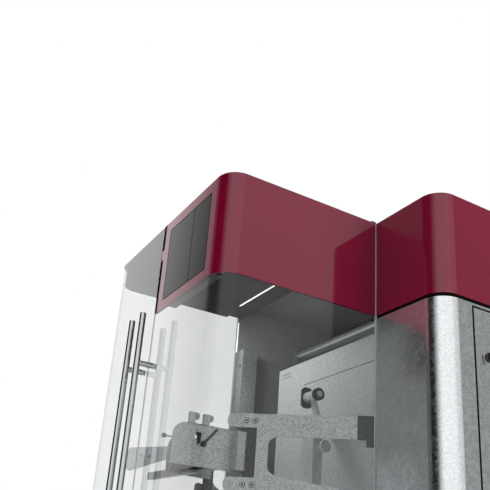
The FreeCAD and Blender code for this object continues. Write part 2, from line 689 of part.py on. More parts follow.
def handle():
    """Round bar handle of the right leaf."""
    bar = rod((HANDLE_SPREAD, -HANDLE_STANDOFF, HANDLE_TOP - HANDLE_LENGTH), (0, 0, 1),
              HANDLE_RADIUS, HANDLE_LENGTH)
    rims = [edge for edge in bar.Edges if edge.Curve.TypeId == "Part::GeomCircle"]
    return bar.makeFillet(HANDLE_END_FILLET, rims)


def handle_standoffs():
    """Rods, washers and bolts that hold the handle to the glass."""
    pieces = []
    bar = rod((HANDLE_SPREAD, -HANDLE_STANDOFF, 0), (0, 0, 1), HANDLE_RADIUS, HEIGHT)
    for z in standoff_heights():
        arm = rod((HANDLE_SPREAD, -HANDLE_STANDOFF, z), (0, 1, 0), STANDOFF_RADIUS, HANDLE_STANDOFF).cut(bar)
        washer = rod((HANDLE_SPREAD, -STANDOFF_WASHER, z), (0, 1, 0), STANDOFF_WASHER_RADIUS, STANDOFF_WASHER)
        bolt = rod((HANDLE_SPREAD, 0, z), (0, 1, 0), STANDOFF_BOLT_RADIUS, GLASS)
        nut = rod((HANDLE_SPREAD, GLASS, z), (0, 1, 0), STANDOFF_WASHER_RADIUS, STANDOFF_WASHER)
        pieces.append(joined(arm, washer, bolt, nut))
    return Part.makeCompound(pieces)


def door_pivots():
    """Clamp blocks inside the right leaf's rear edge, with shoes and pins above and below the glass."""
    x0 = PIVOT_X - PIVOT_BLOCK_WIDTH
    y0 = LEAF_REAR - PIVOT_BLOCK_LENGTH
    reach = PIVOT_X + PIVOT_PIN_RADIUS + PIVOT_EAR_WALL
    shoe_bottom = LEAF_BOTTOM - PIVOT_SHOE
    lower_clamp = block(x0, PIVOT_X, y0, LEAF_REAR, LEAF_BOTTOM, LEAF_BOTTOM + PIVOT_BLOCK_Z)
    lower_shoe = block(x0, reach, y0, LEAF_REAR, shoe_bottom, LEAF_BOTTOM)
    lower_pin_end = PLINTH_TOP - PIVOT_PIN_DEPTH + FREE_CLEARANCE
    lower_pin = rod((PIVOT_X, PIVOT_Y, lower_pin_end), (0, 0, 1), PIVOT_PIN_RADIUS,
                    shoe_bottom - lower_pin_end)
    shoe_top = CAP_BOTTOM - FREE_CLEARANCE
    upper_clamp = block(x0, PIVOT_X, y0, LEAF_REAR, HEIGHT - PIVOT_BLOCK_Z, HEIGHT)
    upper_shoe = block(x0, reach, LEAF_REAR - PIVOT_EAR_LENGTH, LEAF_REAR, HEIGHT, shoe_top)
    upper_pin = rod((PIVOT_X, PIVOT_Y, shoe_top), (0, 0, 1), PIVOT_PIN_RADIUS, ROOF_CAP)
    return Part.makeCompound([joined(lower_clamp, lower_shoe, lower_pin),
                              joined(upper_clamp, upper_shoe, upper_pin)])


def hinge_heights():
    return (SERVICE_BOTTOM + HINGE_FROM_END, SERVICE_TOP - HINGE_FROM_END)


def service_hinges():
    """Fixed hinge leaves with their knuckles and pins."""
    hinges = []
    for z in hinge_heights():
        wing = block(RIGHT_X, RIGHT_X + SHEET, HINGE_Y, HINGE_Y + HINGE_LEAF_WIDTH,
                     z, z + HINGE_KNUCKLE_LENGTH)
        knuckle = rod((HINGE_X, HINGE_Y, z), (0, 0, 1), HINGE_KNUCKLE_RADIUS, HINGE_KNUCKLE_LENGTH)
        pin = rod((HINGE_X, HINGE_Y, z), (0, 0, 1), HINGE_PIN_RADIUS, 2 * HINGE_KNUCKLE_LENGTH)
        hinges.append(joined(wing, knuckle, pin))
    return Part.makeCompound(hinges)


def service_door():
    """Folded door with its welded hinge leaves and the lock's hole."""
    y0 = SERVICE_Y + SERVICE_GAP
    y1 = SERVICE_REAR - SERVICE_GAP
    z0 = SERVICE_BOTTOM + SERVICE_GAP
    z1 = SERVICE_TOP - SERVICE_GAP
    inside = RIGHT_X - SERVICE_FLANGE
    tray = block(inside, RIGHT_X, y0, y1, z0, z1)
    tray = tray.cut(block(inside, RIGHT_X - SHEET, y0 + SHEET, y1 - SHEET, z0 + SHEET, z1 - SHEET))
    tray = tray.cut(rod((inside, LOCK_Y, LOCK_Z), (1, 0, 0),
                        LOCK_STEM_RADIUS + RUNNING_CLEARANCE, SERVICE_FLANGE))
    for z in hinge_heights():
        bottom = z + HINGE_KNUCKLE_LENGTH + FREE_CLEARANCE
        wing = block(RIGHT_X, RIGHT_X + SHEET, HINGE_Y - HINGE_LEAF_WIDTH, HINGE_Y,
                     bottom, bottom + HINGE_KNUCKLE_LENGTH)
        knuckle = rod((HINGE_X, HINGE_Y, bottom), (0, 0, 1), HINGE_KNUCKLE_RADIUS, HINGE_KNUCKLE_LENGTH)
        bore = rod((HINGE_X, HINGE_Y, bottom), (0, 0, 1), HINGE_PIN_RADIUS + RUNNING_CLEARANCE,
                   HINGE_KNUCKLE_LENGTH)
        tray = joined(tray, wing, knuckle).cut(bore)
    return tray


def service_lock():
    """Quarter-turn lock: knob with a grip outside, stem, and cam behind the door's edge."""
    knob_back = RIGHT_X + FREE_CLEARANCE
    cam_back = RIGHT_X - LOCK_CAM_DEPTH - LOCK_CAM_THICKNESS
    stem = rod((cam_back, LOCK_Y, LOCK_Z), (1, 0, 0), LOCK_STEM_RADIUS, knob_back - cam_back)
    knob = rod((knob_back, LOCK_Y, LOCK_Z), (1, 0, 0), LOCK_KNOB_RADIUS, LOCK_KNOB_HEIGHT)
    grip_front = knob_back + 2 * LOCK_KNOB_HEIGHT
    grip = block(knob_back, grip_front, LOCK_Y - LOCK_GRIP_WIDTH / 2, LOCK_Y + LOCK_GRIP_WIDTH / 2,
                 LOCK_Z - LOCK_KNOB_RADIUS, LOCK_Z + LOCK_KNOB_RADIUS)
    grip = grip.common(rod((knob_back, LOCK_Y, LOCK_Z), (1, 0, 0), LOCK_KNOB_RADIUS, 2 * LOCK_KNOB_HEIGHT))
    half = LOCK_CAM_WIDTH / 2
    cam = plate_facing_x(rectangle(LOCK_Y - LOCK_CAM_LENGTH, LOCK_Y + half,
                                   LOCK_Z - half, LOCK_Z + half, half / 2),
                         cam_back, cam_back + LOCK_CAM_THICKNESS)
    return joined(stem, knob, grip, cam)


def operator_plate():
    """Small plate that guides the emergency button and the main switch."""
    half = PLATE_WIDTH / 2
    plate = plate_facing_x(rectangle(PLATE_Y - half, PLATE_Y + half, PLATE_BOTTOM,
                                     PLATE_BOTTOM + PLATE_HEIGHT, half / 4), RIGHT_X, PLATE_FRONT)
    collar = rod((RIGHT_X, PLATE_Y, STOP_Z), (1, 0, 0), STOP_COLLAR_RADIUS, 2 * PLATE_THICKNESS)
    plate = joined(plate, collar)
    for z, radius in ((STOP_Z, STOP_STEM_RADIUS), (SWITCH_Z, SWITCH_STEM_RADIUS)):
        plate = plate.cut(rod((RIGHT_X, PLATE_Y, z), (1, 0, 0),
                              radius + RUNNING_CLEARANCE, 2 * PLATE_THICKNESS))
    return plate


def emergency_button():
    """Mushroom head on a stem that slides through the operator plate."""
    head_back = PLATE_FRONT + PLATE_THICKNESS + STOP_STAND_OFF
    stem = rod((RIGHT_X - STOP_STEM_LENGTH, PLATE_Y, STOP_Z), (1, 0, 0), STOP_STEM_RADIUS,
               head_back - RIGHT_X + STOP_STEM_LENGTH)
    head = rod((head_back, PLATE_Y, STOP_Z), (1, 0, 0), STOP_HEAD_RADIUS, STOP_HEAD_HEIGHT)
    front_x = head_back + STOP_HEAD_HEIGHT
    rim = [edge for edge in head.Edges if abs(edge.BoundBox.XMin - front_x) < SEAT_CLEARANCE
           and edge.Curve.TypeId == "Part::GeomCircle"]
    return joined(stem, head.makeFillet(STOP_HEAD_HEIGHT / 2, rim))


def main_switch():
    """Rotary switch: disc with a grip bar on a stem."""
    disc_back = PLATE_FRONT + FREE_CLEARANCE
    stem = rod((RIGHT_X - STOP_STEM_LENGTH, PLATE_Y, SWITCH_Z), (1, 0, 0), SWITCH_STEM_RADIUS,
               disc_back - RIGHT_X + STOP_STEM_LENGTH)
    disc = rod((disc_back, PLATE_Y, SWITCH_Z), (1, 0, 0), SWITCH_DISC_RADIUS, SWITCH_DISC)
    half = SWITCH_GRIP_WIDTH / 2
    reach = SWITCH_DISC_RADIUS - half / 2
    grip = plate_facing_x(rectangle(PLATE_Y - half, PLATE_Y + half,
                                    SWITCH_Z - reach, SWITCH_Z + reach, half / 2),
                          disc_back, disc_back + SWITCH_DISC + SWITCH_GRIP_HEIGHT)
    return joined(stem, disc, grip)


def control_plate():
    """Mounting plate on spacers off the partition."""
    x0 = HALF + CONTROL_STAND_OFF
    y0 = CHAMBER_DEPTH + CONTROL_FROM_FRONT
    y1 = y0 + CONTROL_LENGTH
    z1 = CONTROL_BOTTOM + CONTROL_HEIGHT
    plate = block(x0, x0 + SHEET, y0, y1, CONTROL_BOTTOM, z1)
    spacers = [rod((HALF, y, z), (1, 0, 0), CONTROL_SPACER_RADIUS, CONTROL_STAND_OFF)
               for y in (y0 + CONTROL_SPACER_INSET, y1 - CONTROL_SPACER_INSET)
               for z in (CONTROL_BOTTOM + CONTROL_SPACER_INSET, z1 - CONTROL_SPACER_INSET)]
    return joined(plate, *spacers)


def control_gear():
    """The mounting plate with its rows of drive and supply modules."""
    x0 = HALF + CONTROL_STAND_OFF + SHEET
    y_gap = (CONTROL_LENGTH - MODULES_PER_ROW * MODULE_WIDTH) / (MODULES_PER_ROW + 1)
    z_gap = (CONTROL_HEIGHT - MODULE_ROWS * MODULE_HEIGHT) / (MODULE_ROWS + 1)
    modules = []
    for row in range(MODULE_ROWS):
        z0 = CONTROL_BOTTOM + z_gap + row * (MODULE_HEIGHT + z_gap)
        depth = MODULE_DEPTH + row * MODULE_DEPTH_STEP
        for column in range(MODULES_PER_ROW):
            y0 = CHAMBER_DEPTH + CONTROL_FROM_FRONT + y_gap + column * (MODULE_WIDTH + y_gap)
            modules.append(block(x0, x0 + depth, y0, y0 + MODULE_WIDTH, z0, z0 + MODULE_HEIGHT))
    return Part.makeCompound([control_plate()] + modules)


def supply_inlet():
    """Inlet box on the rear wall, bored for a cable gland."""
    x = RIGHT_X - INLET_FROM_SIDE
    half = INLET_WIDTH / 2
    z = INLET_CENTRE_HEIGHT
    box = plate_facing_y(rectangle(x - half, x + half, z - INLET_HEIGHT / 2, z + INLET_HEIGHT / 2, half / 5),
                         REAR_Y, REAR_Y + INLET_DEPTH)
    return box.cut(rod((x, REAR_Y, z), (0, 1, 0), INLET_BORE_RADIUS, INLET_DEPTH))


def film_magazine():
    """Galvanised cover in front of the film bay: front sheet, left return and top return."""
    rear = MAGAZINE_Y + MAGAZINE_RETURN
    front = block(-MAGAZINE_LEFT, INNER_WALL_X, MAGAZINE_Y, MAGAZINE_Y + SHEET, FLOOR_TOP, MAGAZINE_TOP)
    side = block(-MAGAZINE_LEFT, -MAGAZINE_LEFT + SHEET, MAGAZINE_Y, rear, FLOOR_TOP, MAGAZINE_TOP)
    top = block(-MAGAZINE_LEFT, INNER_WALL_X, MAGAZINE_Y, rear, MAGAZINE_TOP - SHEET, MAGAZINE_TOP)
    cover = joined(front, side, top)
    for row in range(SLOT_ROWS):
        z = MAGAZINE_TOP - SLOT_FROM_TOP - row * SLOT_PITCH
        for column in range(SLOTS_PER_ROW):
            x = -MAGAZINE_LEFT + SLOT_FROM_LEFT + column * SLOT_PITCH
            slot = rectangle(x, x + SLOT_LENGTH, z - SLOT_WIDTH, z, SLOT_WIDTH / 3)
            cover = cover.cut(plate_facing_y(slot, MAGAZINE_Y, MAGAZINE_Y + SHEET))
    return cover


def magazine_hatch():
    """Screwed-on hatch sheet on the magazine's front."""
    return plate_facing_y(rectangle(-HATCH_LEFT, INNER_WALL_X - HATCH_RIGHT_INSET, HATCH_BOTTOM, HATCH_TOP,
                                    2 * HATCH_SHEET), MAGAZINE_Y - HATCH_SHEET, MAGAZINE_Y)


def bracket(x0, y, foot_z, axis_z, length, head_radius, bore_radius):
    """Upright bearing plate with a rounded head."""
    half = length / 2
    top = axis_z + head_radius
    plate = plate_facing_x([(y - half, foot_z, 0), (y + half, foot_z, 0), (y + half, top, head_radius),
                            (y - half, top, head_radius)], x0, x0 + BRACKET_SHEET)
    return plate.cut(rod((x0, y, axis_z), (1, 0, 0), bore_radius + RUNNING_CLEARANCE, BRACKET_SHEET))


def roller_brackets():
    places = (-ROLLER_LEFT - FREE_CLEARANCE - BRACKET_SHEET, ROLLER_RIGHT + FREE_CLEARANCE)
    return [bracket(x, ROLLER_Y, MAGAZINE_TOP, ROLLER_Z, BRACKET_LENGTH, BRACKET_HEAD_RADIUS,
                    ROLLER_JOURNAL_RADIUS) for x in places]


def guide_roller():
    """Film guide roller with its journals."""
    tube = rod((-ROLLER_LEFT, ROLLER_Y, ROLLER_Z), (1, 0, 0), ROLLER_RADIUS, ROLLER_LEFT + ROLLER_RIGHT)
    journal_reach = FREE_CLEARANCE + BRACKET_SHEET
    journal = rod((-ROLLER_LEFT - journal_reach, ROLLER_Y, ROLLER_Z), (1, 0, 0), ROLLER_JOURNAL_RADIUS,
                  ROLLER_LEFT + ROLLER_RIGHT + 2 * journal_reach)
    return joined(tube, journal)


def reel_brackets():
    half = REEL_WIDTH / 2 + REEL_GAP
    places = (REEL_MIDDLE - half - BRACKET_SHEET, REEL_MIDDLE + half)
    return [bracket(x, REEL_Y, FLOOR_TOP, REEL_AXIS_HEIGHT, REEL_BRACKET_LENGTH, REEL_BRACKET_LENGTH / 3,
                    REEL_JOURNAL_RADIUS) for x in places]


def film_brackets():
    """Bearing plates of the guide roller and of the film reel."""
    return Part.makeCompound(roller_brackets() + reel_brackets())


def film_reel():
    """Wound film on its core, with the journals it turns on."""
    half = REEL_WIDTH / 2
    core_half = half + REEL_GAP / 2
    journal_half = half + REEL_GAP + BRACKET_SHEET
    pieces = [rod((REEL_MIDDLE - reach, REEL_Y, REEL_AXIS_HEIGHT), (1, 0, 0), radius, 2 * reach)
              for reach, radius in ((half, REEL_RADIUS), (core_half, REEL_CORE_RADIUS),
                                    (journal_half, REEL_JOURNAL_RADIUS))]
    return joined(*pieces)


def at_arm(shape):
    """Moves a piece from the arm's own frame (x from root to tip) to its place in the chamber."""
    shape.rotate(Vector(), Vector(0, 0, 1), ARM_TURN)
    shape.translate(Vector(ARM_ROOT_X, ARM_ROOT_Y, 0))
    return shape


def ear_foot():
    """Distance from the arm's root to where its ears begin."""
    return ARM_LENGTH - ARM_EAR_LENGTH


def lower_ear_top():
    return ARM_TOP - ARM_TIP_HEIGHT + ARM_EAR_HEIGHT


def screw_places():
    """Arm-frame places (x, z) of the pivot bar's screws."""
    first = ear_foot() + SCREW_FROM_EAR_FOOT
    heights = (ARM_TOP - ARM_EAR_HEIGHT / 2, lower_ear_top() - ARM_EAR_HEIGHT / 2)
    return [(x, z) for x in (first, first + SCREW_SPACING) for z in heights]


def drilled_for_screws(shape):
    for x, z in screw_places():
        shape = shape.cut(rod((x, ARM_SHEET / 2, z), (0, -1, 0), SCREW_SHANK_RADIUS + SEAT_CLEARANCE,
                              ARM_SHEET + SCREW_DEPTH + SEAT_CLEARANCE))
    return shape


def arm_plate():
    """Swing arm: plate with a wedge-shaped window and two ears, welded to its hub."""
    foot = ear_foot()
    tip_bottom = ARM_TOP - ARM_TIP_HEIGHT
    upper_ear_bottom = ARM_TOP - ARM_EAR_HEIGHT
    half = ARM_SHEET / 2
    outline = [(0, ARM_TOP, 0), (ARM_LENGTH, ARM_TOP, ARM_EAR_RADIUS),
               (ARM_LENGTH, upper_ear_bottom, ARM_EAR_RADIUS), (foot, upper_ear_bottom, ARM_INNER_RADIUS),
               (foot, lower_ear_top(), ARM_INNER_RADIUS), (ARM_LENGTH, lower_ear_top(), ARM_EAR_RADIUS),
               (ARM_LENGTH, tip_bottom, ARM_EAR_RADIUS), (foot, tip_bottom, 0), (0, ARM_BOTTOM, 0)]
    plate = plate_facing_y(outline, -half, half)
    window_end = foot - ARM_STILE_WIDTH
    window_top = ARM_TOP - ARM_BAR_HEIGHT
    window = [(ARM_WINDOW_FROM_ROOT, ARM_BOTTOM + ARM_LOWER_BAR_HEIGHT, ARM_WINDOW_RADIUS),
              (window_end, tip_bottom + ARM_LOWER_BAR_HEIGHT, ARM_WINDOW_RADIUS),
              (window_end, window_top, ARM_WINDOW_RADIUS),
              (ARM_WINDOW_FROM_ROOT, window_top, ARM_WINDOW_RADIUS)]
    plate = drilled_for_screws(plate.cut(plate_facing_y(window, -half, half)))
    hub = rod((0, 0, ARM_BOTTOM), (0, 0, 1), HUB_RADIUS, ARM_ROOT_HEIGHT)
    bore = rod((0, 0, ARM_BOTTOM), (0, 0, 1), SHAFT_RADIUS, ARM_ROOT_HEIGHT)
    return at_arm(joined(plate, hub).cut(bore))


def pivot_bar():
    """Dark bar behind the ears, with a lug that fills the space between them."""
    half = ARM_SHEET / 2
    foot = ear_foot()
    back = block(foot, foot + PIVOT_BAR_WIDTH, -half - PIVOT_BAR_DEPTH, -half,
                 ARM_TOP - ARM_TIP_HEIGHT, ARM_TOP)
    lug = block(foot + PIVOT_LUG_GAP, foot + PIVOT_LUG_GAP + PIVOT_LUG_WIDTH, -half, half + PIVOT_LUG_PROUD,
                lower_ear_top() + PIVOT_LUG_GAP, ARM_TOP - ARM_EAR_HEIGHT - PIVOT_LUG_GAP)
    return at_arm(drilled_for_screws(joined(back, lug)))


def arm_screws():
    half = ARM_SHEET / 2
    screws = []
    for x, z in screw_places():
        head = rod((x, half, z), (0, 1, 0), SCREW_HEAD_RADIUS, SCREW_HEAD)
        shank = rod((x, half, z), (0, -1, 0), SCREW_SHANK_RADIUS, ARM_SHEET + SCREW_DEPTH)
        screws.append(joined(head, shank))
    return at_arm(Part.makeCompound(screws))


def arm_shaft():
    """Upright shaft from the motor's hollow bore to above the upper bearing."""
    bottom = LOWER_BEARING_Z - MOTOR_BORE_DEPTH + FREE_CLEARANCE
    top = UPPER_BEARING_Z + BEARING_HEIGHT + SHAFT_ABOVE_BEARING
    return rod((ARM_ROOT_X, ARM_ROOT_Y, bottom), (0, 0, 1), SHAFT_RADIUS, top - bottom)


def shaft_bearings():
    """Bearing blocks on the side wall, one above and one below the arm."""
    blocks = []
    for z in (UPPER_BEARING_Z, LOWER_BEARING_Z):
        housing = block(ARM_ROOT_X - BEARING_HALF_WIDTH, INNER_WALL_X, ARM_ROOT_Y - BEARING_HALF_WIDTH,
                        ARM_ROOT_Y + BEARING_HALF_WIDTH, z, z + BEARING_HEIGHT)
        blocks.append(housing.cut(rod((ARM_ROOT_X, ARM_ROOT_Y, z), (0, 0, 1),
                                      SHAFT_RADIUS + RUNNING_CLEARANCE, BEARING_HEIGHT)))
    return Part.makeCompound(blocks)


def arm_motor():
    """Hollow-shaft gear motor hung under the lower bearing, with cooling grooves round its can."""
    top = LOWER_BEARING_Z
    can_top = top - MOTOR_FLANGE
    can_bottom = top - MOTOR_LENGTH
    flange = rod((ARM_ROOT_X, ARM_ROOT_Y, can_top), (0, 0, 1), MOTOR_FLANGE_RADIUS, MOTOR_FLANGE)
    can = rod((ARM_ROOT_X, ARM_ROOT_Y, can_bottom), (0, 0, 1), MOTOR_RADIUS, can_top - can_bottom)
    motor = joined(flange, can)
    pitch = (can_top - MOTOR_BORE_DEPTH - can_bottom) / MOTOR_FIN_COUNT
    for i in range(1, MOTOR_FIN_COUNT):
        z = can_bottom + i * pitch
        ring = rod((ARM_ROOT_X, ARM_ROOT_Y, z), (0, 0, 1), MOTOR_FLANGE_RADIUS, pitch / 2)
        core = rod((ARM_ROOT_X, ARM_ROOT_Y, z), (0, 0, 1), MOTOR_RADIUS - MOTOR_FIN_DEPTH, pitch / 2)
        motor = motor.cut(ring.cut(core))
    return motor.cut(rod((ARM_ROOT_X, ARM_ROOT_Y, top - MOTOR_BORE_DEPTH), (0, 0, 1),
                         SHAFT_RADIUS + RUNNING_CLEARANCE, MOTOR_BORE_DEPTH))


def thumb_places():
    """Front ends of the lugs that the thumb screws turn in."""
    return (THUMB_Y, THUMB_Y + THUMB_SPACING)


def thumb_lug(y):
    """Upright lug on the gripper plate's top edge, bored for a thumb screw."""
    lug = block(GRIPPER_X, GRIPPER_X + THUMB_LUG_DEPTH, y, y + THUMB_LUG_LENGTH,
                GRIPPER_TOP, GRIPPER_TOP + THUMB_LUG_HEIGHT)
    bore_radius = THUMB_STEM_RADIUS + RUNNING_CLEARANCE
    return lug.cut(rod((THUMB_X, y, THUMB_Z), (0, 1, 0), bore_radius, THUMB_LUG_LENGTH))


def jaw_line(x):
    """Front of the jaw bars, which lie in one line that comes forward towards the left."""
    return GRIPPER_FRONT + JAW_FROM_FRONT + JAW_LEAN * (x - GRIPPER_X)


def level_bar(x0, x1, front, back, z0, z1):
    """A bar along the jaw line between two places across the chamber."""
    return slab([(x0, jaw_line(x0) + front, 0), (x1, jaw_line(x1) + front, 0),
                 (x1, jaw_line(x1) + back, 0), (x0, jaw_line(x0) + back, 0)], z0, z1)


def jaw_bar(x0, x1):
    return level_bar(x0, x1, 0, JAW_DEPTH, GRIPPER_BOTTOM, GRIPPER_BOTTOM + JAW_HEIGHT)


def gripper_plate(front):
    """Plate at the right arm's tip, with the block that joins the pivot bar and the lever's hole."""
    rear = TIP_Y + GRIPPER_BACK
    plate = plate_facing_x([(front, GRIPPER_BOTTOM, 0), (rear, GRIPPER_BOTTOM, 0),
                            (rear, GRIPPER_TOP, 0), (front, GRIPPER_TOP, GRIPPER_CORNER_RADIUS)],
                           GRIPPER_X, GRIPPER_FACE)
    block_top = GRIPPER_TOP - GRIPPER_BLOCK_DROP
    link = block(GRIPPER_FACE, GRIPPER_FACE + GRIPPER_BLOCK_WIDTH, rear - GRIPPER_BLOCK_LENGTH, rear,
                 block_top - GRIPPER_BLOCK_Z, block_top)
    pin_hole = rod((GRIPPER_X, LEVER_Y, LEVER_Z), (1, 0, 0),
                   LEVER_PIN_RADIUS + RUNNING_CLEARANCE, GRIPPER_SHEET)
    return joined(plate, link.cut(pivot_bar())).cut(pin_hole)


def right_gripper():
    """Gripper with a notch, a jaw bar and the lugs of the thumb screws."""
    notch_y = GRIPPER_FRONT + NOTCH_FROM_FRONT
    notch_z = GRIPPER_TOP - NOTCH_DROP
    notch = [(notch_y, notch_z, NOTCH_RADIUS), (notch_y + NOTCH_SIZE / 2, notch_z - NOTCH_SIZE, NOTCH_RADIUS),
             (notch_y + NOTCH_SIZE, notch_z, NOTCH_RADIUS)]
    plate = gripper_plate(GRIPPER_FRONT).cut(plate_facing_x(notch, GRIPPER_X, GRIPPER_FACE))
    lugs = [thumb_lug(y) for y in thumb_places()]
    return joined(plate, jaw_bar(JAW_MIDDLE_GAP / 2, GRIPPER_X), *lugs)


def left_gripper():
    """Shorter gripper whose jaw bar runs on under the guard."""
    plate = mirrored(gripper_plate(LEFT_GRIPPER_FRONT))
    return joined(plate, jaw_bar(-GRIPPER_FACE - JAW_TAIL, -JAW_MIDDLE_GAP / 2))


def jaw_pad(x0, x1):
    """Rubber strip on the front of a jaw bar."""
    middle = GRIPPER_BOTTOM + JAW_HEIGHT / 2
    half = JAW_PAD_HEIGHT / 2
    return level_bar(x0 + JAW_PAD_MARGIN, x1 - JAW_PAD_MARGIN, -JAW_PAD, 0, middle - half, middle + half)


def thumb_screw(y):
    """Knurled screw in a lug, with its knob at the rear."""
    seat = y + THUMB_LUG_LENGTH + FREE_CLEARANCE
    front = y - THUMB_STEM_END
    stem = rod((THUMB_X, front, THUMB_Z), (0, 1, 0), THUMB_STEM_RADIUS, seat - front)
    knob = rod((THUMB_X, seat, THUMB_Z), (0, 1, 0), THUMB_KNOB_RADIUS, THUMB_KNOB_LENGTH)
    return joined(stem, knob)


def clamp_lever():
    """Lever on a pin through the gripper plate, held by a head at the back."""
    face = GRIPPER_FACE + FREE_CLEARANCE
    end = face + LEVER_SHEET
    back = GRIPPER_X - FREE_CLEARANCE
    hub = rod((face, LEVER_Y, LEVER_Z), (1, 0, 0), LEVER_HUB_RADIUS, LEVER_SHEET)
    pin = rod((back, LEVER_Y, LEVER_Z), (1, 0, 0), LEVER_PIN_RADIUS, end - back)
    head = rod((back - LEVER_SHEET / 2, LEVER_Y, LEVER_Z), (1, 0, 0), LEVER_HUB_RADIUS, LEVER_SHEET / 2)
    half = LEVER_WIDTH / 2
    outline = rectangle(LEVER_Y, LEVER_Y + LEVER_LENGTH, LEVER_Z - half, LEVER_Z + half, half / 2)
    blade = plate_facing_x(outline, face, end)
    blade.rotate(Vector(face, LEVER_Y, LEVER_Z), Vector(1, 0, 0), LEVER_TILT)
    return joined(hub, pin, head, blade)


def left_guard():
    """Smoked guard plate that stands out from the left gripper and comes forward."""
    top = GRIPPER_TOP - GUARD_DROP
    sheet = plate_facing_y([(GUARD_SHEET, top, 0), (-GUARD_LENGTH, top, GUARD_CORNER_RADIUS),
                            (-GUARD_LENGTH, top - GUARD_FAR_HEIGHT, GUARD_CORNER_RADIUS),
                            (GUARD_SHEET, top - GUARD_NEAR_HEIGHT, 0)], 0, GUARD_SHEET)
    sheet.rotate(Vector(), Vector(0, 0, 1), GUARD_TURN)
    sheet.translate(Vector(-GRIPPER_FACE, LEFT_GRIPPER_FRONT + GUARD_FROM_FRONT, 0))
    inside = block(-GRIPPER_FACE, 0, 0, CHAMBER_DEPTH, 0, HEIGHT)
    return sheet.cut(inside)


def follower_column():
    """Column behind the arms, braced to the hatch, with a round end stop on its right."""
    x0 = FOLLOWER_X - FOLLOWER_COLUMN_LEFT
    x1 = x0 + FOLLOWER_COLUMN_WIDTH
    half = FOLLOWER_COLUMN_DEPTH / 2
    column = block(x0, x1, FOLLOWER_Y - half, FOLLOWER_Y + half, FLOOR_TOP, FOLLOWER_FOOT)
    brace = block(x0, x1, FOLLOWER_Y, MAGAZINE_Y - HATCH_SHEET,
                  FOLLOWER_FOOT - FOLLOWER_POST_WIDTH, FOLLOWER_FOOT)
    stop_z = FOLLOWER_FOOT - END_STOP_DROP
    stud = rod((x1, FOLLOWER_Y, stop_z), (1, 0, 0), FOLLOWER_AXLE_RADIUS, END_STOP_REACH)
    disc = rod((x1 + END_STOP_REACH - END_STOP, FOLLOWER_Y, stop_z), (1, 0, 0), END_STOP_RADIUS, END_STOP)
    return joined(column, brace, stud, disc)


def follower_post():
    """Leaning post on the column, with a yoke plate, a bush and the film follower's axle."""
    y = FOLLOWER_Y
    z = FOLLOWER_Z
    half = FOLLOWER_POST_WIDTH / 2
    foot_y = y + FOLLOWER_POST_LEAN
    upright = plate_facing_x([(foot_y - half, FOLLOWER_FOOT, 0), (foot_y + half, FOLLOWER_FOOT, 0),
                              (y + half, z, 0), (y - half, z, 0)], FOLLOWER_X - half, FOLLOWER_X + half)
    wide = FOLLOWER_YOKE_WIDTH / 2
    tall = FOLLOWER_YOKE_HEIGHT / 2
    yoke = plate_facing_x(rectangle(y - wide, y + wide, z - tall, z + tall, FOLLOWER_YOKE_RADIUS),
                          BUSH_LEFT - FOLLOWER_YOKE, BUSH_LEFT)
    bush = rod((BUSH_LEFT, y, z), (1, 0, 0), FOLLOWER_BUSH_RADIUS, BUSH_RIGHT - BUSH_LEFT)
    axle_length = FOLLOWER_WIDTH + 2 * FREE_CLEARANCE
    axle = rod((BUSH_RIGHT, y, z), (1, 0, 0), FOLLOWER_AXLE_RADIUS, axle_length)
    cap = rod((BUSH_RIGHT + axle_length, y, z), (1, 0, 0), FOLLOWER_CAP_RADIUS, FOLLOWER_CAP)
    return joined(upright, yoke, bush, axle, cap, follower_column())


def film_follower():
    """Wheel with a grooved rim on the follower post's axle."""
    x0 = BUSH_RIGHT + FREE_CLEARANCE
    rim = FOLLOWER_WIDTH / 3
    wheel = rod((x0, FOLLOWER_Y, FOLLOWER_Z), (1, 0, 0), FOLLOWER_RADIUS, FOLLOWER_WIDTH)
    groove = rod((x0 + rim, FOLLOWER_Y, FOLLOWER_Z), (1, 0, 0), FOLLOWER_RADIUS, rim)
    groove = groove.cut(rod((x0 + rim, FOLLOWER_Y, FOLLOWER_Z), (1, 0, 0), FOLLOWER_RADIUS - rim / 2, rim))
    bore_radius = FOLLOWER_AXLE_RADIUS + RUNNING_CLEARANCE
    bore = rod((x0, FOLLOWER_Y, FOLLOWER_Z), (1, 0, 0), bore_radius, FOLLOWER_WIDTH)
    return wheel.cut(groove).cut(bore)


def left_stay():
    """Folded stay on the inside of the housing's left wall."""
    x0 = -INNER_WALL_X
    x1 = x0 + STAY_WIDTH
    y0 = STAY_Y
    face = plate_facing_y([(x0, STAY_BOTTOM, 0), (x1, STAY_BOTTOM, 0), (x1, STAY_TOP, 0),
                           (x0, STAY_TOP - STAY_SLOPE, 0)], y0, y0 + SHEET)
    hole = rod((x0 + STAY_WIDTH / 2, y0, STAY_TOP - STAY_HOLE_DROP), (0, 1, 0), STAY_HOLE_RADIUS, SHEET)
    side = block(x1 - SHEET, x1, y0, y0 + STAY_RETURN, STAY_BOTTOM, STAY_TOP - STAY_SLOPE)
    return joined(face.cut(hole), side)


def table_columns():
    """Two round columns with foot flanges and stop collars."""
    columns = []
    for x in (-COLUMN_SPACING / 2, COLUMN_SPACING / 2):
        shaft = rod((x, COLUMN_FROM_FRONT, FLOOR_TOP), (0, 0, 1), COLUMN_RADIUS, COLUMN_TOP - FLOOR_TOP)
        flange = rod((x, COLUMN_FROM_FRONT, FLOOR_TOP), (0, 0, 1), COLUMN_FOOT_RADIUS, COLUMN_FOOT)
        collar_bottom = CARRIAGE_BOTTOM - FREE_CLEARANCE - COLLAR_HEIGHT
        collar = rod((x, COLUMN_FROM_FRONT, collar_bottom), (0, 0, 1), COLLAR_RADIUS, COLLAR_HEIGHT)
        columns.append(joined(shaft, flange, collar))
    return Part.makeCompound(columns)


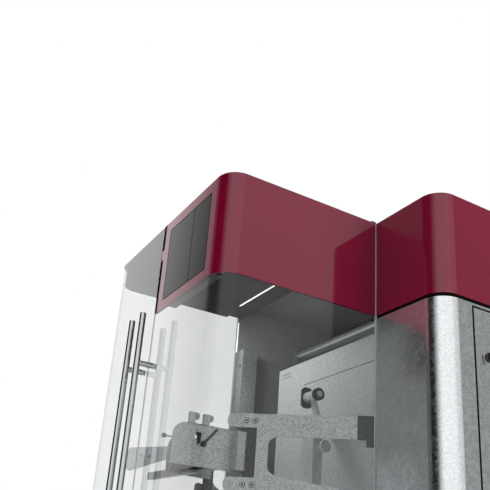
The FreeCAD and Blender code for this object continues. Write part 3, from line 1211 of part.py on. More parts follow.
def bag_table():
    """Table plate with a carriage that slides on the columns."""
    half = TABLE_WIDTH / 2
    plate = slab(rectangle(-half, half, TABLE_FRONT, TABLE_REAR, TABLE_SHEET),
                 TABLE_TOP - TABLE_SHEET, TABLE_TOP)
    reach = COLUMN_SPACING / 2 + CARRIAGE_DEPTH / 2
    carriage = block(-reach, reach, TABLE_REAR - CARRIAGE_DEPTH, TABLE_REAR, CARRIAGE_BOTTOM, TABLE_TOP)
    table = joined(plate, carriage)
    for x in (-COLUMN_SPACING / 2, COLUMN_SPACING / 2):
        table = table.cut(rod((x, COLUMN_FROM_FRONT, CARRIAGE_BOTTOM), (0, 0, 1),
                              COLUMN_RADIUS + RUNNING_CLEARANCE, CARRIAGE_HEIGHT))
    return table


def fixed_pieces():
    """Everything that belongs to the cabinet itself."""
    return {
        "base_frame": base_frame(), "levelling_feet": levelling_feet(), "floor_pan": floor_pan(),
        "front_roof": front_roof(), "lamp_strip": lamp_strip(), "rear_roof": rear_roof(),
        "left_wall": left_wall(), "partition_wall": partition_wall(), "rear_wall": rear_wall(),
        "rear_shell": rear_shell(), "rear_header_band": rear_header_band(),
        "shadow_gap_strip": shadow_gap_strip(), "service_hinges": service_hinges(),
        "operator_plate": operator_plate(), "control_gear": control_gear(),
        "supply_inlet": supply_inlet(), "film_magazine": film_magazine(),
        "magazine_hatch": magazine_hatch(), "film_brackets": film_brackets(),
        "follower_post": follower_post(), "left_stay": left_stay(), "table_columns": table_columns(),
        "shaft_bearings": both_sides(shaft_bearings()), "arm_motors": both_sides(arm_motor()),
    }


def door_pieces():
    """Both leaves with what is fastened to them."""
    pane = leaf(LEAF_BOTTOM, HEIGHT)
    lower_pane = leaf(LEAF_BOTTOM, HEADER_Z)
    return {
        "right_door_glass": drilled_for_handle(lower_pane), "right_header_panel": right_header_panel(),
        "touch_screen": touch_screen(), "touch_panel_housing": touch_panel_housing(),
        "right_handle": handle(), "right_handle_standoffs": handle_standoffs(),
        "right_door_pivots": door_pivots(), "left_door_glass": mirrored(drilled_for_handle(pane)),
        "left_handle": mirrored(handle()), "left_handle_standoffs": mirrored(handle_standoffs()),
        "left_door_pivots": mirrored(door_pivots()),
    }


def arm_pieces():
    """Both arm groups: what is alike mirrors the right side, the grippers differ."""
    front, rear = thumb_places()
    one_side = {
        "arm_plate": arm_plate(), "arm_shaft": arm_shaft(), "pivot_bar": pivot_bar(),
        "arm_screws": arm_screws(), "clamp_lever": clamp_lever(),
    }
    pieces = {
        "right_gripper": right_gripper(), "left_gripper": left_gripper(),
        "right_jaw_pad": jaw_pad(JAW_MIDDLE_GAP / 2, GRIPPER_X),
        "left_jaw_pad": jaw_pad(-GRIPPER_X, -JAW_MIDDLE_GAP / 2),
        "front_thumb_screw": thumb_screw(front), "rear_thumb_screw": thumb_screw(rear),
        "left_guard": left_guard(),
    }
    for name, shape in one_side.items():
        pieces["right_" + name] = shape
        pieces["left_" + name] = mirrored(shape)
    return pieces


def other_moving_pieces():
    return {
        "service_door": service_door(), "service_lock": service_lock(),
        "emergency_button": emergency_button(), "main_switch": main_switch(),
        "guide_roller": guide_roller(), "film_reel": film_reel(),
        "film_follower": film_follower(), "bag_table": bag_table(),
    }


def main():
    os.makedirs("parts", exist_ok=True)
    pieces = {**fixed_pieces(), **door_pieces(), **arm_pieces(), **other_moving_pieces()}
    for name, shape in pieces.items():
        shape.translate(Vector(0, -ORIGIN_Y, 0))
        shape.exportStep("parts/" + name + ".step")
        print(name, len(shape.Solids), "solids", "valid" if shape.isValid() else "INVALID",
              round(shape.Volume / 1000), "cm3")
    print(len(pieces), "nodes")


if __name__ == "__main__":
    main()
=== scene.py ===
import json
import math

import bmesh
import bpy
from mathutils import Matrix, Vector


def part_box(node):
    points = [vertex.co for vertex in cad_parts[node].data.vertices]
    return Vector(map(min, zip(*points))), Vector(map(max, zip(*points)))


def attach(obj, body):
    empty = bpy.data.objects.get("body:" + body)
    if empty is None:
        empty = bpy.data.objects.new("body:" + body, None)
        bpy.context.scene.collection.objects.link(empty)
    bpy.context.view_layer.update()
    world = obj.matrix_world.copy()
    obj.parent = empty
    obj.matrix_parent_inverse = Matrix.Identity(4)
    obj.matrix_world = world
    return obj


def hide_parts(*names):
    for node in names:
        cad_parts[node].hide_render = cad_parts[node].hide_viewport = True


# Looks of the glazed packaging machine: finishes, small fittings, studio and camera.
# Metres. X runs to the right as seen from the front, Y to the rear, Z up from the floor.

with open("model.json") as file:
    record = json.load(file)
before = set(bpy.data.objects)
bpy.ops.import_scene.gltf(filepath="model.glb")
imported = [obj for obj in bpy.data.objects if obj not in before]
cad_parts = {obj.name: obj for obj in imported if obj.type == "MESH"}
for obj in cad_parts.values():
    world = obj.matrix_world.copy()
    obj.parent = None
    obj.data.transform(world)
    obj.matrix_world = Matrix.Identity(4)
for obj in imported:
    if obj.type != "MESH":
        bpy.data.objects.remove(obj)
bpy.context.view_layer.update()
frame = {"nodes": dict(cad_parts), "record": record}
slot_of_node = {part["node"]: part["material_slot"] for part in frame["record"]["subparts"]}


# Node helpers for the finishes and the surround

def new_node(owner, kind):
    """A new node in the tree of a material or of the world."""
    return owner.node_tree.nodes.new(kind)


def join(owner, output, socket):
    owner.node_tree.links.new(output, socket)


def feed(owner, source, socket):
    """Links a socket to another node's output, or sets it to a plain value."""
    if isinstance(source, bpy.types.NodeSocket):
        join(owner, source, socket)
    else:
        socket.default_value = source


def opaque(colour):
    """A colour with full alpha, as a node's socket takes it."""
    return (*colour, 1.0)


def worked_out(owner, operation, first, second, clamp=False):
    """A value worked out from two outputs, or from an output and a plain number."""
    calculation = new_node(owner, "ShaderNodeMath")
    calculation.operation = operation
    calculation.use_clamp = clamp
    feed(owner, first, calculation.inputs[0])
    feed(owner, second, calculation.inputs[1])
    return calculation.outputs["Value"]


def either(owner, switch, off, on):
    """The colour off where the switch is 0, and the colour on where it is 1."""
    mix = new_node(owner, "ShaderNodeMix")
    mix.data_type = "RGBA"
    join(owner, switch, mix.inputs["Factor"])
    feed(owner, off, mix.inputs["A"])
    feed(owner, on, mix.inputs["B"])
    return mix.outputs["Result"]


def shader_of(material):
    return material.node_tree.nodes["Principled BSDF"]


def plain_finish(name, colour, roughness, metallic=0.0):
    """A material with one shader, its plain values set on the shader itself."""
    material = bpy.data.materials.new(name)
    material.use_nodes = True
    shader = shader_of(material)
    shader.inputs["Base Color"].default_value = opaque(colour)
    shader.inputs["Roughness"].default_value = roughness
    shader.inputs["Metallic"].default_value = metallic
    return material


def place_on_piece(material, stretch=(1.0, 1.0, 1.0)):
    """The piece's own coordinates, in metres times the stretch."""
    coordinates = new_node(material, "ShaderNodeTexCoord")
    mapping = new_node(material, "ShaderNodeMapping")
    mapping.inputs["Scale"].default_value = stretch
    join(material, coordinates.outputs["Object"], mapping.inputs["Vector"])
    return mapping.outputs["Vector"]


def place_along(material, axis):
    """The piece's own coordinate along one axis."""
    split = new_node(material, "ShaderNodeSeparateXYZ")
    join(material, place_on_piece(material), split.inputs["Vector"])
    return split.outputs[axis]


def blotches(material, size, detail=2.0, stretch=(1.0, 1.0, 1.0)):
    """Soft noise with blotches of about the given size."""
    noise = new_node(material, "ShaderNodeTexNoise")
    noise.inputs["Scale"].default_value = 1.0 / size
    noise.inputs["Detail"].default_value = detail
    join(material, place_on_piece(material, stretch), noise.inputs["Vector"])
    return noise.outputs["Fac"]


def crystals(material, size):
    """One random grey for each crystal of about the given size."""
    cells = new_node(material, "ShaderNodeTexVoronoi")
    cells.inputs["Scale"].default_value = 1.0 / size
    join(material, place_on_piece(material), cells.inputs["Vector"])
    shade = new_node(material, "ShaderNodeRGBToBW")
    join(material, cells.outputs["Color"], shade.inputs["Color"])
    return shade.outputs["Val"]


def blend_of(material, first, second, share):
    """Two grey patterns mixed, the second with the given share."""
    mix = new_node(material, "ShaderNodeMix")
    mix.inputs["Factor"].default_value = share
    join(material, first, mix.inputs["A"])
    join(material, second, mix.inputs["B"])
    return mix.outputs["Result"]


def spread(material, pattern, low, high, from_low=0.3, from_high=0.7):
    """A grey pattern stretched to run from low to high."""
    stretch = new_node(material, "ShaderNodeMapRange")
    stretch.inputs["From Min"].default_value = from_low
    stretch.inputs["From Max"].default_value = from_high
    stretch.inputs["To Min"].default_value = low
    stretch.inputs["To Max"].default_value = high
    join(material, pattern, stretch.inputs["Value"])
    return stretch.outputs["Result"]


def colour_between(material, pattern, dark, light):
    """A colour that runs from dark to light with the pattern."""
    return either(material, spread(material, pattern, 0.0, 1.0), opaque(dark), opaque(light))


def vary(material, colour_pattern, dark, light, roughness_pattern, smooth, rough):
    """Gives the finish its colour variation and its roughness variation."""
    shader = shader_of(material)
    join(material, colour_between(material, colour_pattern, dark, light), shader.inputs["Base Color"])
    join(material, spread(material, roughness_pattern, smooth, rough), shader.inputs["Roughness"])


def relief(material, pattern, depth):
    """A fine relief on the surface, in metres."""
    bump = new_node(material, "ShaderNodeBump")
    bump.inputs["Distance"].default_value = depth
    join(material, pattern, bump.inputs["Height"])
    join(material, bump.outputs["Normal"], shader_of(material).inputs["Normal"])


def grey(level):
    """A faintly blue grey."""
    return (level * 0.975, level * 1.01, level * 1.025)


# Finishes

ZINC_DARK = 0.46
ZINC_LIGHT = 0.68
ZINC_METALLIC = 0.4
SPANGLE = 0.004
SPANGLE_GRAIN = 0.0025
SPANGLE_FIELD = 0.011
HALF_SHEET = 0.00125
LIT_FACE = 0.001


def spangle_of(material):
    """Pattern of zinc crystals with a fine grain in them."""
    grain = blotches(material, SPANGLE_GRAIN, detail=3.0)
    return blend_of(material, crystals(material, SPANGLE), grain, share=0.5)


def galvanised_sheet(name, dark, light, metallic, smooth):
    """Zinc-coated sheet; its colour follows the crystals, its roughness follows larger fields."""
    material = plain_finish(name, grey(light), smooth, metallic)
    spangle = spangle_of(material)
    fields = crystals(material, SPANGLE_FIELD)
    vary(material, spangle, grey(dark), grey(light), fields, smooth, rough=smooth + 0.1)
    relief(material, spangle, depth=0.00001)
    return material


def sheet_darker_inside(name, node, axis, outside_above):
    """Wall sheet, galvanised outside and a plain darker grey inside, which reaches to mid-sheet."""
    low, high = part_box(node)
    across = "XYZ".index(axis)
    material = plain_finish(name, grey(0.5), roughness=0.35, metallic=1.0)
    place = place_along(material, axis)
    if outside_above:
        outside = worked_out(material, "GREATER_THAN", place, low[across] + HALF_SHEET)
    else:
        outside = worked_out(material, "LESS_THAN", place, high[across] - HALF_SHEET)
    spangle = spangle_of(material)
    zinc = colour_between(material, spangle, grey(ZINC_DARK), grey(ZINC_LIGHT))
    # Inner face: a plain darker grey with faint blotches
    coat = colour_between(material, blotches(material, size=0.03), grey(0.24), grey(0.28))
    metallic = worked_out(material, "MULTIPLY", outside, ZINC_METALLIC, clamp=True)
    shader = shader_of(material)
    join(material, either(material, outside, coat, zinc), shader.inputs["Base Color"])
    join(material, metallic, shader.inputs["Metallic"])
    join(material, spread(material, spangle, 0.32, 0.5), shader.inputs["Roughness"])
    return material


def roof_coat():
    """Dull dark coat of the roof box."""
    material = plain_finish("roof_coat", grey(0.025), roughness=0.7)
    speck = blotches(material, size=0.004, detail=3.0)
    clouds = blotches(material, size=0.08)
    vary(material, speck, grey(0.02), grey(0.032), clouds, smooth=0.6, rough=0.75)
    shader_of(material).inputs["Specular IOR Level"].default_value = 0.12
    return material


def dark_coat():
    """Smooth dark coat of the plinth and the roof's lip."""
    material = plain_finish("dark_coat", grey(0.07), roughness=0.55)
    speck = blotches(material, size=0.004, detail=3.0)
    clouds = blotches(material, size=0.08)
    vary(material, speck, grey(0.06), grey(0.085), clouds, smooth=0.2, rough=0.28)
    return material


def black_enamel():
    """Fine-textured black coat of bars, motors and clamps, also used for the painted shadow beside the
    clamp lever's hub.
    """
    material = plain_finish("black_enamel", grey(0.02), roughness=0.4)
    speck = blotches(material, size=0.0015, detail=3.0)
    clouds = blotches(material, size=0.05)
    vary(material, speck, grey(0.014), grey(0.026), clouds, smooth=0.34, rough=0.5)
    relief(material, speck, depth=0.00005)
    return material


def black_lines_and_painted_shade():
    """Dull black that gives back hardly any light: the colour of real gaps, joints and lines, and of the
    painted shade in slots, at screws and beside joints.
    """
    material = plain_finish("black_lines_and_painted_shade", grey(0.003), roughness=0.9)
    speck = blotches(material, size=0.002)
    clouds = blotches(material, size=0.02)
    vary(material, speck, grey(0.002), grey(0.004), clouds, smooth=0.85, rough=0.95)
    shader_of(material).inputs["Specular IOR Level"].default_value = 0.05
    return material


def moulded_plastic(name, dark, light):
    """Plastic with the fine grain of its mould."""
    material = plain_finish(name, light, roughness=0.4)
    clouds = blotches(material, size=0.03)
    grain = blotches(material, size=0.0009)
    vary(material, clouds, dark, light, grain, smooth=0.36, rough=0.48)
    relief(material, grain, depth=0.00005)
    return material


def brushed_steel(name, level, smooth, rough, along):
    """Steel with fine marks that run along one axis."""
    material = plain_finish(name, grey(level), rough, metallic=1.0)
    stretch = [1.0, 1.0, 1.0]
    stretch["XYZ".index(along)] = 0.02
    lines = blotches(material, size=0.0006, detail=3.0, stretch=stretch)
    clouds = blotches(material, size=0.04, detail=3.0)
    vary(material, lines, grey(level * 0.9), grey(level), clouds, smooth, rough)
    relief(material, lines, depth=0.000004)
    return material


def cast_aluminium():
    """Grainy cast metal of the bearings and brackets."""
    material = plain_finish("cast_aluminium", grey(0.6), roughness=0.45, metallic=1.0)
    clouds = blotches(material, size=0.03, detail=3.0)
    grain = blotches(material, size=0.0012, detail=4.0)
    vary(material, clouds, grey(0.5), grey(0.66), grain, smooth=0.38, rough=0.55)
    relief(material, grain, depth=0.00005)
    return material


def red_lacquer(name, smooth, rough):
    """Deep red under a clear gloss."""
    material = plain_finish(name, (0.165, 0.001, 0.022), smooth)
    clouds = blotches(material, size=0.25)
    fine = blotches(material, size=0.01)
    vary(material, clouds, (0.158, 0.0008, 0.021), (0.172, 0.0012, 0.024), fine, smooth, rough)
    shader_of(material).inputs["Specular IOR Level"].default_value = 0.7
    return material


def red_button_plastic():
    """Bright red plastic with a thin clear coat."""
    material = moulded_plastic("red_button_plastic", (0.42, 0.012, 0.012), (0.52, 0.018, 0.016))
    shader_of(material).inputs["Coat Weight"].default_value = 0.3
    return material


def screen_glass():
    """Dark glass of the touch panel, switched off."""
    material = plain_finish("screen_glass", grey(0.004), roughness=0.03)
    clouds = blotches(material, size=0.1)
    smears = blotches(material, size=0.03)
    vary(material, clouds, grey(0.003), grey(0.006), smears, smooth=0.02, rough=0.06)
    shader_of(material).inputs["Specular IOR Level"].default_value = 0.14
    return material


def rubber():
    """Dull black rubber of pads, gaskets and edgings."""
    material = plain_finish("rubber", grey(0.02), roughness=0.7)
    grain = blotches(material, size=0.0008, detail=3.0)
    clouds = blotches(material, size=0.02)
    vary(material, grain, grey(0.014), grey(0.028), clouds, smooth=0.6, rough=0.8)
    relief(material, grain, depth=0.00008)
    return material


def seal_grey():
    """Mid-grey plastic of the leaves' seals and the terminals."""
    material = plain_finish("seal_grey", grey(0.42), roughness=0.5)
    grain = blotches(material, size=0.001)
    clouds = blotches(material, size=0.02)
    vary(material, grain, grey(0.38), grey(0.46), clouds, smooth=0.42, rough=0.6)
    return material


def lamp_cover(name, lit_below):
    """Strip that glows below the given height and has a dark case above it; it makes the lamp strip under
    the roof, and the painted highlight on the left wall's front edge.
    """
    material = plain_finish(name, (0.9, 0.9, 0.88), roughness=0.5)
    shader = shader_of(material)
    below = worked_out(material, "LESS_THAN", place_along(material, "Z"), lit_below)
    frost = blotches(material, size=0.01)
    lit = colour_between(material, frost, (0.86, 0.86, 0.84), (0.94, 0.94, 0.92))
    grain = blotches(material, size=0.004)
    join(material, either(material, below, opaque(grey(0.05)), lit), shader.inputs["Base Color"])
    join(material, spread(material, grain, 0.4, 0.55), shader.inputs["Roughness"])
    shader.inputs["Emission Color"].default_value = opaque((1.0, 0.99, 0.97))
    join(material, below, shader.inputs["Emission Strength"])
    return material


def wound_film():
    """Milky film wound in layers, seen as fine rings at the ends."""
    material = plain_finish("wound_film", (0.72, 0.75, 0.77), roughness=0.3)
    layers = blotches(material, size=0.0009, stretch=(0.05, 1.0, 1.0))
    clouds = blotches(material, size=0.03)
    vary(material, layers, (0.62, 0.66, 0.69), (0.8, 0.83, 0.85), clouds, smooth=0.2, rough=0.38)
    shader_of(material).inputs["Coat Weight"].default_value = 0.4
    return material


def glass_sheet(name, dark, light, mirror_share):
    """Clear sheet with a faint tint, which mirrors more the flatter it is looked at.

    The face that is met first mirrors for both faces of the sheet, the other one only lets light out.
    """
    material = bpy.data.materials.new(name)
    material.use_nodes = True
    nodes = material.node_tree.nodes
    nodes.remove(shader_of(material))
    through = new_node(material, "ShaderNodeBsdfTransparent")
    tint = colour_between(material, blotches(material, size=0.12, detail=1.0), dark, light)
    join(material, tint, through.inputs["Color"])
    mirror = new_node(material, "ShaderNodeBsdfAnisotropic")
    mirror.inputs["Roughness"].default_value = 0.0
    flatness = new_node(material, "ShaderNodeFresnel")
    flatness.inputs["IOR"].default_value = 1.5
    both = worked_out(material, "MULTIPLY", flatness.outputs["Fac"], mirror_share, clamp=True)
    side = new_node(material, "ShaderNodeNewGeometry")
    met_first = worked_out(material, "SUBTRACT", both, side.outputs["Backfacing"], clamp=True)
    mix = new_node(material, "ShaderNodeMixShader")
    join(material, met_first, mix.inputs[0])
    join(material, through.outputs["BSDF"], mix.inputs[1])
    join(material, mirror.outputs["BSDF"], mix.inputs[2])
    join(material, mix.outputs["Shader"], nodes["Material Output"].inputs["Surface"])
    return material


GALVANISED = galvanised_sheet("galvanised_sheet", ZINC_DARK, ZINC_LIGHT, ZINC_METALLIC, smooth=0.3)
HOUSING_ZINC = galvanised_sheet("housing_zinc", dark=0.72, light=0.9, metallic=1.0, smooth=0.155)
# The arms' copy of the galvanised sheet has a darker base colour, as painted shade
SHADED_ARM_ZINC = galvanised_sheet("arm_zinc_painted_shade", dark=0.3, light=0.56, metallic=0.6, smooth=0.28)
ROOF_COAT = roof_coat()
DARK_COAT = dark_coat()
BLACK_ENAMEL = black_enamel()
BLACK_LINES_AND_PAINTED_SHADE = black_lines_and_painted_shade()
BLACK_PLASTIC = moulded_plastic("black_plastic", grey(0.014), grey(0.024))
UPRIGHT_STEEL = brushed_steel("upright_steel", level=0.6, smooth=0.1, rough=0.2, along="Z")
TURNED_STEEL = brushed_steel("turned_steel", level=0.58, smooth=0.22, rough=0.36, along="Y")
ROLLER_STEEL = brushed_steel("roller_steel", level=0.5, smooth=0.16, rough=0.26, along="X")
CAST_ALUMINIUM = cast_aluminium()
RED_LACQUER = red_lacquer("red_lacquer", smooth=0.03, rough=0.06)
BAND_LACQUER = red_lacquer("band_lacquer", smooth=0.12, rough=0.17)
RED_BUTTON = red_button_plastic()
SCREEN = screen_glass()
RUBBER = rubber()
SEAL_GREY = seal_grey()
FILM = wound_film()
CLEAR_GLASS = glass_sheet("clear_glass", (0.915, 0.924, 0.921), (0.925, 0.932, 0.93), mirror_share=1.3)
SMOKED_SHEET = glass_sheet("smoked_sheet", (0.6, 0.61, 0.62), (0.65, 0.66, 0.67), mirror_share=1.4)

# The strip on the wall's front edge glows over its whole height as a painted highlight; the lamp under the
# roof is lit on its lower face only
EDGE_HIGHLIGHT_GLOW = lamp_cover("wall_edge_highlight_glow", lit_below=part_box("left_wall")[1].z)
LAMP = lamp_cover("lamp_cover", lit_below=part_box("lamp_strip")[0].z + LIT_FACE)

finish_of_slot = {
    "galvanised": GALVANISED,
    "grey_paint": DARK_COAT,
    "stainless": TURNED_STEEL,
    "black_paint": BLACK_ENAMEL,
    "black_plastic": BLACK_PLASTIC,
    "aluminium": CAST_ALUMINIUM,
    "clear_glass": CLEAR_GLASS,
    "smoked_sheet": SMOKED_SHEET,
    "screen_glass": SCREEN,
    "red_lacquer": RED_LACQUER,
    "red_plastic": RED_BUTTON,
    "black_rubber": RUBBER,
    "lamp_cover": LAMP,
    "film": FILM,
}

# Nodes that differ from the finish of their slot
finish_of_node = {
    "left_wall": sheet_darker_inside("left_wall_sheet", "left_wall", "X", outside_above=False),
    "partition_wall": sheet_darker_inside("partition_sheet", "partition_wall", "X", outside_above=True),
    "rear_wall": sheet_darker_inside("rear_wall_sheet", "rear_wall", "Y", outside_above=True),
    "rear_roof": sheet_darker_inside("rear_roof_sheet", "rear_roof", "Z", outside_above=True),
    "front_roof": ROOF_COAT,
    "rear_shell": HOUSING_ZINC,
    "service_door": HOUSING_ZINC,
    "rear_header_band": BAND_LACQUER,
    "shadow_gap_strip": BLACK_LINES_AND_PAINTED_SHADE,
    "right_handle": UPRIGHT_STEEL,
    "left_handle": UPRIGHT_STEEL,
    "table_columns": UPRIGHT_STEEL,
    "bag_table": GALVANISED,
    "follower_post": GALVANISED,
    "film_follower": RUBBER,
    "guide_roller": ROLLER_STEEL,
    "right_arm_plate": SHADED_ARM_ZINC,
    "left_arm_plate": SHADED_ARM_ZINC,
    "right_gripper": SHADED_ARM_ZINC,
    "left_gripper": SHADED_ARM_ZINC,
    "left_stay": SHADED_ARM_ZINC,
}


def dress_nodes():
    for node, solid in frame["nodes"].items():
        finish = finish_of_node.get(node, finish_of_slot[slot_of_node[node]])
        solid.data.materials.clear()
        solid.data.materials.append(finish)


# Mesh helpers for the small fittings

SIDE = {"right": 1, "left": -1}
THIN_EDGE = 0.0002
LINE_EDGE = 0.00015
STEM_EDGE = 0.0004
SHEET_EDGE = 0.0005
BLOCK_EDGE = 0.0012
SHARP_ANGLE = 0.6
SMOOTH_ANGLE = math.radians(35)
QUARTER_STEPS = 9


def bar(mesh, one, other):
    """A box between two opposite corners."""
    low = Vector(tuple(map(min, one, other)))
    high = Vector(tuple(map(max, one, other)))
    size = high - low
    place = Matrix.Translation((low + high) / 2) @ Matrix.Diagonal((*size, 1.0))
    return bmesh.ops.create_cube(mesh, size=1.0, matrix=place)["verts"]


def disc(mesh, centre, along, radius, length, sides=32, tip_radius=None):
    """A round body that starts at the centre and runs along the direction."""
    along = Vector(along).normalized()
    turn = along.to_track_quat("Z", "Y").to_matrix().to_4x4()
    middle = Vector(centre) + along * length / 2
    tip = radius if tip_radius is None else tip_radius
    return bmesh.ops.create_cone(mesh, cap_ends=True, segments=sides, radius1=radius, radius2=tip,
                                 depth=length, matrix=Matrix.Translation(middle) @ turn)["verts"]


def bevel(mesh, edges, width, steps):
    bmesh.ops.bevel(mesh, geom=edges, offset=width, offset_type="OFFSET", affect="EDGES",
                    segments=steps, profile=0.5, material=-1, clamp_overlap=True)


def round_edges(mesh, verts, width, steps=2):
    """Rounds the sharp edges at the given corners."""
    edges = dict.fromkeys(edge for vert in verts for edge in vert.link_edges)
    sharp = [edge for edge in edges if len(edge.link_faces) == 2 and edge.calc_face_angle() > SHARP_ANGLE]
    bevel(mesh, sharp, width, steps)


def rounded_bar(mesh, one, other, edge, steps=2):
    round_edges(mesh, bar(mesh, one, other), edge, steps)


def border(mesh, low, high, line):
    """Thin upright border of four bars just inside a rectangle that faces the front."""
    edges = (
        ((low.x, low.z), (low.x + line, high.z)),
        ((high.x - line, low.z), (high.x, high.z)),
        ((low.x, low.z), (high.x, low.z + line)),
        ((low.x, high.z - line), (high.x, high.z)),
    )
    for (left, bottom), (right, top) in edges:
        rounded_bar(mesh, (left, low.y, bottom), (right, high.y, top), LINE_EDGE, steps=1)


def drawn(mesh, edges, shift):
    """Draws edges out into a straight sheet and returns its far edges."""
    grown = bmesh.ops.extrude_edge_only(mesh, edges=edges)["geom"]
    moved = [item for item in grown if isinstance(item, bmesh.types.BMVert)]
    bmesh.ops.translate(mesh, vec=shift, verts=moved)
    return [item for item in grown if isinstance(item, bmesh.types.BMEdge)
            and all(vert in moved for vert in item.verts)]


def swung(mesh, edges, centre):
    """Swings edges a quarter turn about an upright axis and returns the far edges."""
    corners = list(dict.fromkeys(vert for edge in edges for vert in edge.verts))
    turned = bmesh.ops.spin(mesh, geom=edges + corners, cent=centre, axis=(0, 0, 1), angle=math.pi / 2,
                            steps=QUARTER_STEPS, use_merge=False)
    return [item for item in turned["geom_last"] if isinstance(item, bmesh.types.BMEdge)]


def thicken(mesh, shift):
    """Turns the flat faces of a mesh into a body by drawing them out."""
    swept = bmesh.ops.extrude_face_region(mesh, geom=list(mesh.faces))["geom"]
    moved = [item for item in swept if isinstance(item, bmesh.types.BMVert)]
    bmesh.ops.translate(mesh, vec=shift, verts=moved)


def knurl(mesh, foot, radius, length, ridges, groove):
    """Knob along Y with ridges round it and rounded rims."""
    turned = disc(mesh, foot, (0, 1, 0), radius, length, sides=ridges * 2)
    for vert in turned:
        spoke = vert.co - foot
        angle = math.atan2(spoke.z, spoke.x)
        if round(angle / (math.pi / ridges)) % 2:
            flat = Vector((spoke.x, 0.0, spoke.z))
            vert.co -= flat.normalized() * groove
    rims = [edge for edge in mesh.edges if all(vert in turned for vert in edge.verts)
            and abs(edge.verts[0].co.y - edge.verts[1].co.y) < 1e-6]
    bevel(mesh, rims, width=0.001, steps=2)


def spaced(first, last, count):
    """Evenly spaced places from the first to the last."""
    return [first + step / (count - 1) * (last - first) for step in range(count)]


def upward(height):
    return Vector((0.0, 0.0, height))


def joint_place(name):
    """The point that a turning joint turns about."""
    joints = frame["record"]["behaviour"]["joints"]
    return next(Vector(joint["pos_m"]) for joint in joints if joint["name"] == name)


def make_piece(name, mesh, finish, body):
    """Turns the mesh into a piece of the machine that moves with the body."""
    bmesh.ops.recalc_face_normals(mesh, faces=mesh.faces)
    data = bpy.data.meshes.new(name)
    mesh.to_mesh(data)
    mesh.free()
    data.shade_smooth()
    data.set_sharp_from_angle(angle=SMOOTH_ANGLE)
    piece = bpy.data.objects.new(name, data)
    bpy.context.scene.collection.objects.link(piece)
    data.materials.append(finish)
    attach(piece, body)
    return piece


# Screws with a round head and a hexagon on top, sized in radii of the head

HEAD_HEIGHT = 0.45
HEAD_TOP = 0.72
HEAD_EDGE = 0.08
HEXAGON = 0.36
HEXAGON_PROUD = 0.04
HEXAGON_EDGE = 0.015


def plate_screws(name, centres, outward, radius, body, finish):
    """Button-head screws at the given places."""
    mesh = bmesh.new()
    for centre in centres:
        head = disc(mesh, centre, outward, radius, radius * HEAD_HEIGHT, sides=24,
                    tip_radius=radius * HEAD_TOP)
        round_edges(mesh, head, radius * HEAD_EDGE)
        top = Vector(centre) + Vector(outward) * radius * HEAD_HEIGHT
        hexagon = disc(mesh, top, outward, radius * HEXAGON, radius * HEXAGON_PROUD, sides=6)
        round_edges(mesh, hexagon, radius * HEXAGON_EDGE, steps=1)
    make_piece(name, mesh, finish, body)


# Header, touch panel and leaves

STRIP_WIDTH = 0.016
STRIP_PROUD = 0.0006
STRIP_BREAK = (2.056, 2.098)
SCREEN_LINE = 0.0022
SCREEN_LINE_PROUD = 0.0004
SCREEN_DIVISION = 0.61
REAR_SEAL_WIDTH = 0.004
REAR_SEAL_DEPTH = 0.0028
JOINT_SEAL_WIDTH = 0.0006
JOINT_SEAL_DEPTH = 0.004


def header_joint_shade_strips():
    """Painted shade of the joint between the leaves: black strips on the header beside it, in two
    stretches.
    """
    low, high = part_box("right_header_panel")
    mesh = bmesh.new()
    for bottom, top in ((low.z, STRIP_BREAK[0]), (STRIP_BREAK[1], high.z)):
        rounded_bar(mesh, (low.x, low.y - STRIP_PROUD, bottom), (low.x + STRIP_WIDTH, low.y, top),
                    THIN_EDGE, steps=1)
    make_piece("header_joint_shade_strips", mesh, BLACK_LINES_AND_PAINTED_SHADE, "right_door")


def screen_lines():
    """Thin line round the touch panel and the line that divides it."""
    low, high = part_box("touch_screen")
    front = low.y - SCREEN_LINE_PROUD
    division = low.x + SCREEN_DIVISION * (high.x - low.x)
    mesh = bmesh.new()
    border(mesh, Vector((low.x, front, low.z)), Vector((high.x, low.y, high.z)), SCREEN_LINE)
    rounded_bar(mesh, (division, front, low.z), (division + SCREEN_LINE, low.y, high.z), LINE_EDGE, steps=1)
    make_piece("screen_lines", mesh, BLACK_LINES_AND_PAINTED_SHADE, "right_door")


def leaf_rear_seal(hand):
    """Narrow grey seal on the rear edge of a leaf."""
    low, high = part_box(hand + "_door_glass")
    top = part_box("right_header_panel")[1].z
    outer = high.x if hand == "right" else low.x
    inner = outer - SIDE[hand] * REAR_SEAL_WIDTH
    mesh = bmesh.new()
    rounded_bar(mesh, (outer, high.y, low.z), (inner, high.y + REAR_SEAL_DEPTH, top), BLOCK_EDGE)
    make_piece(hand + "_rear_seal", mesh, SEAL_GREY, hand + "_door")


def leaf_joint_seal():
    """Thin grey seal on the right leaf's edge, below the header."""
    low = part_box("right_door_glass")[0]
    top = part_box("right_header_panel")[0].z
    mesh = bmesh.new()
    rounded_bar(mesh, (low.x - JOINT_SEAL_WIDTH, low.y, low.z), (low.x, low.y + JOINT_SEAL_DEPTH, top),
                THIN_EDGE, steps=1)
    make_piece("leaf_joint_seal", mesh, SEAL_GREY, "right_door")


# Roof, and painted highlight on the wall's front edge

GLASS_RADIUS = 0.07
LIP_INSETS = (0.0015, 0.018)
LIP_REAR = -0.21
LIP_ABOVE_GLASS = 0.0004
LIP_THICKNESS = 0.0012
EDGE_HIGHLIGHT_WIDTH = 0.006
EDGE_HIGHLIGHT_THICKNESS = 0.0012
EDGE_HIGHLIGHT_BELOW_ROOF = 0.006
EDGE_HIGHLIGHT_BESIDE_STAY = 0.01


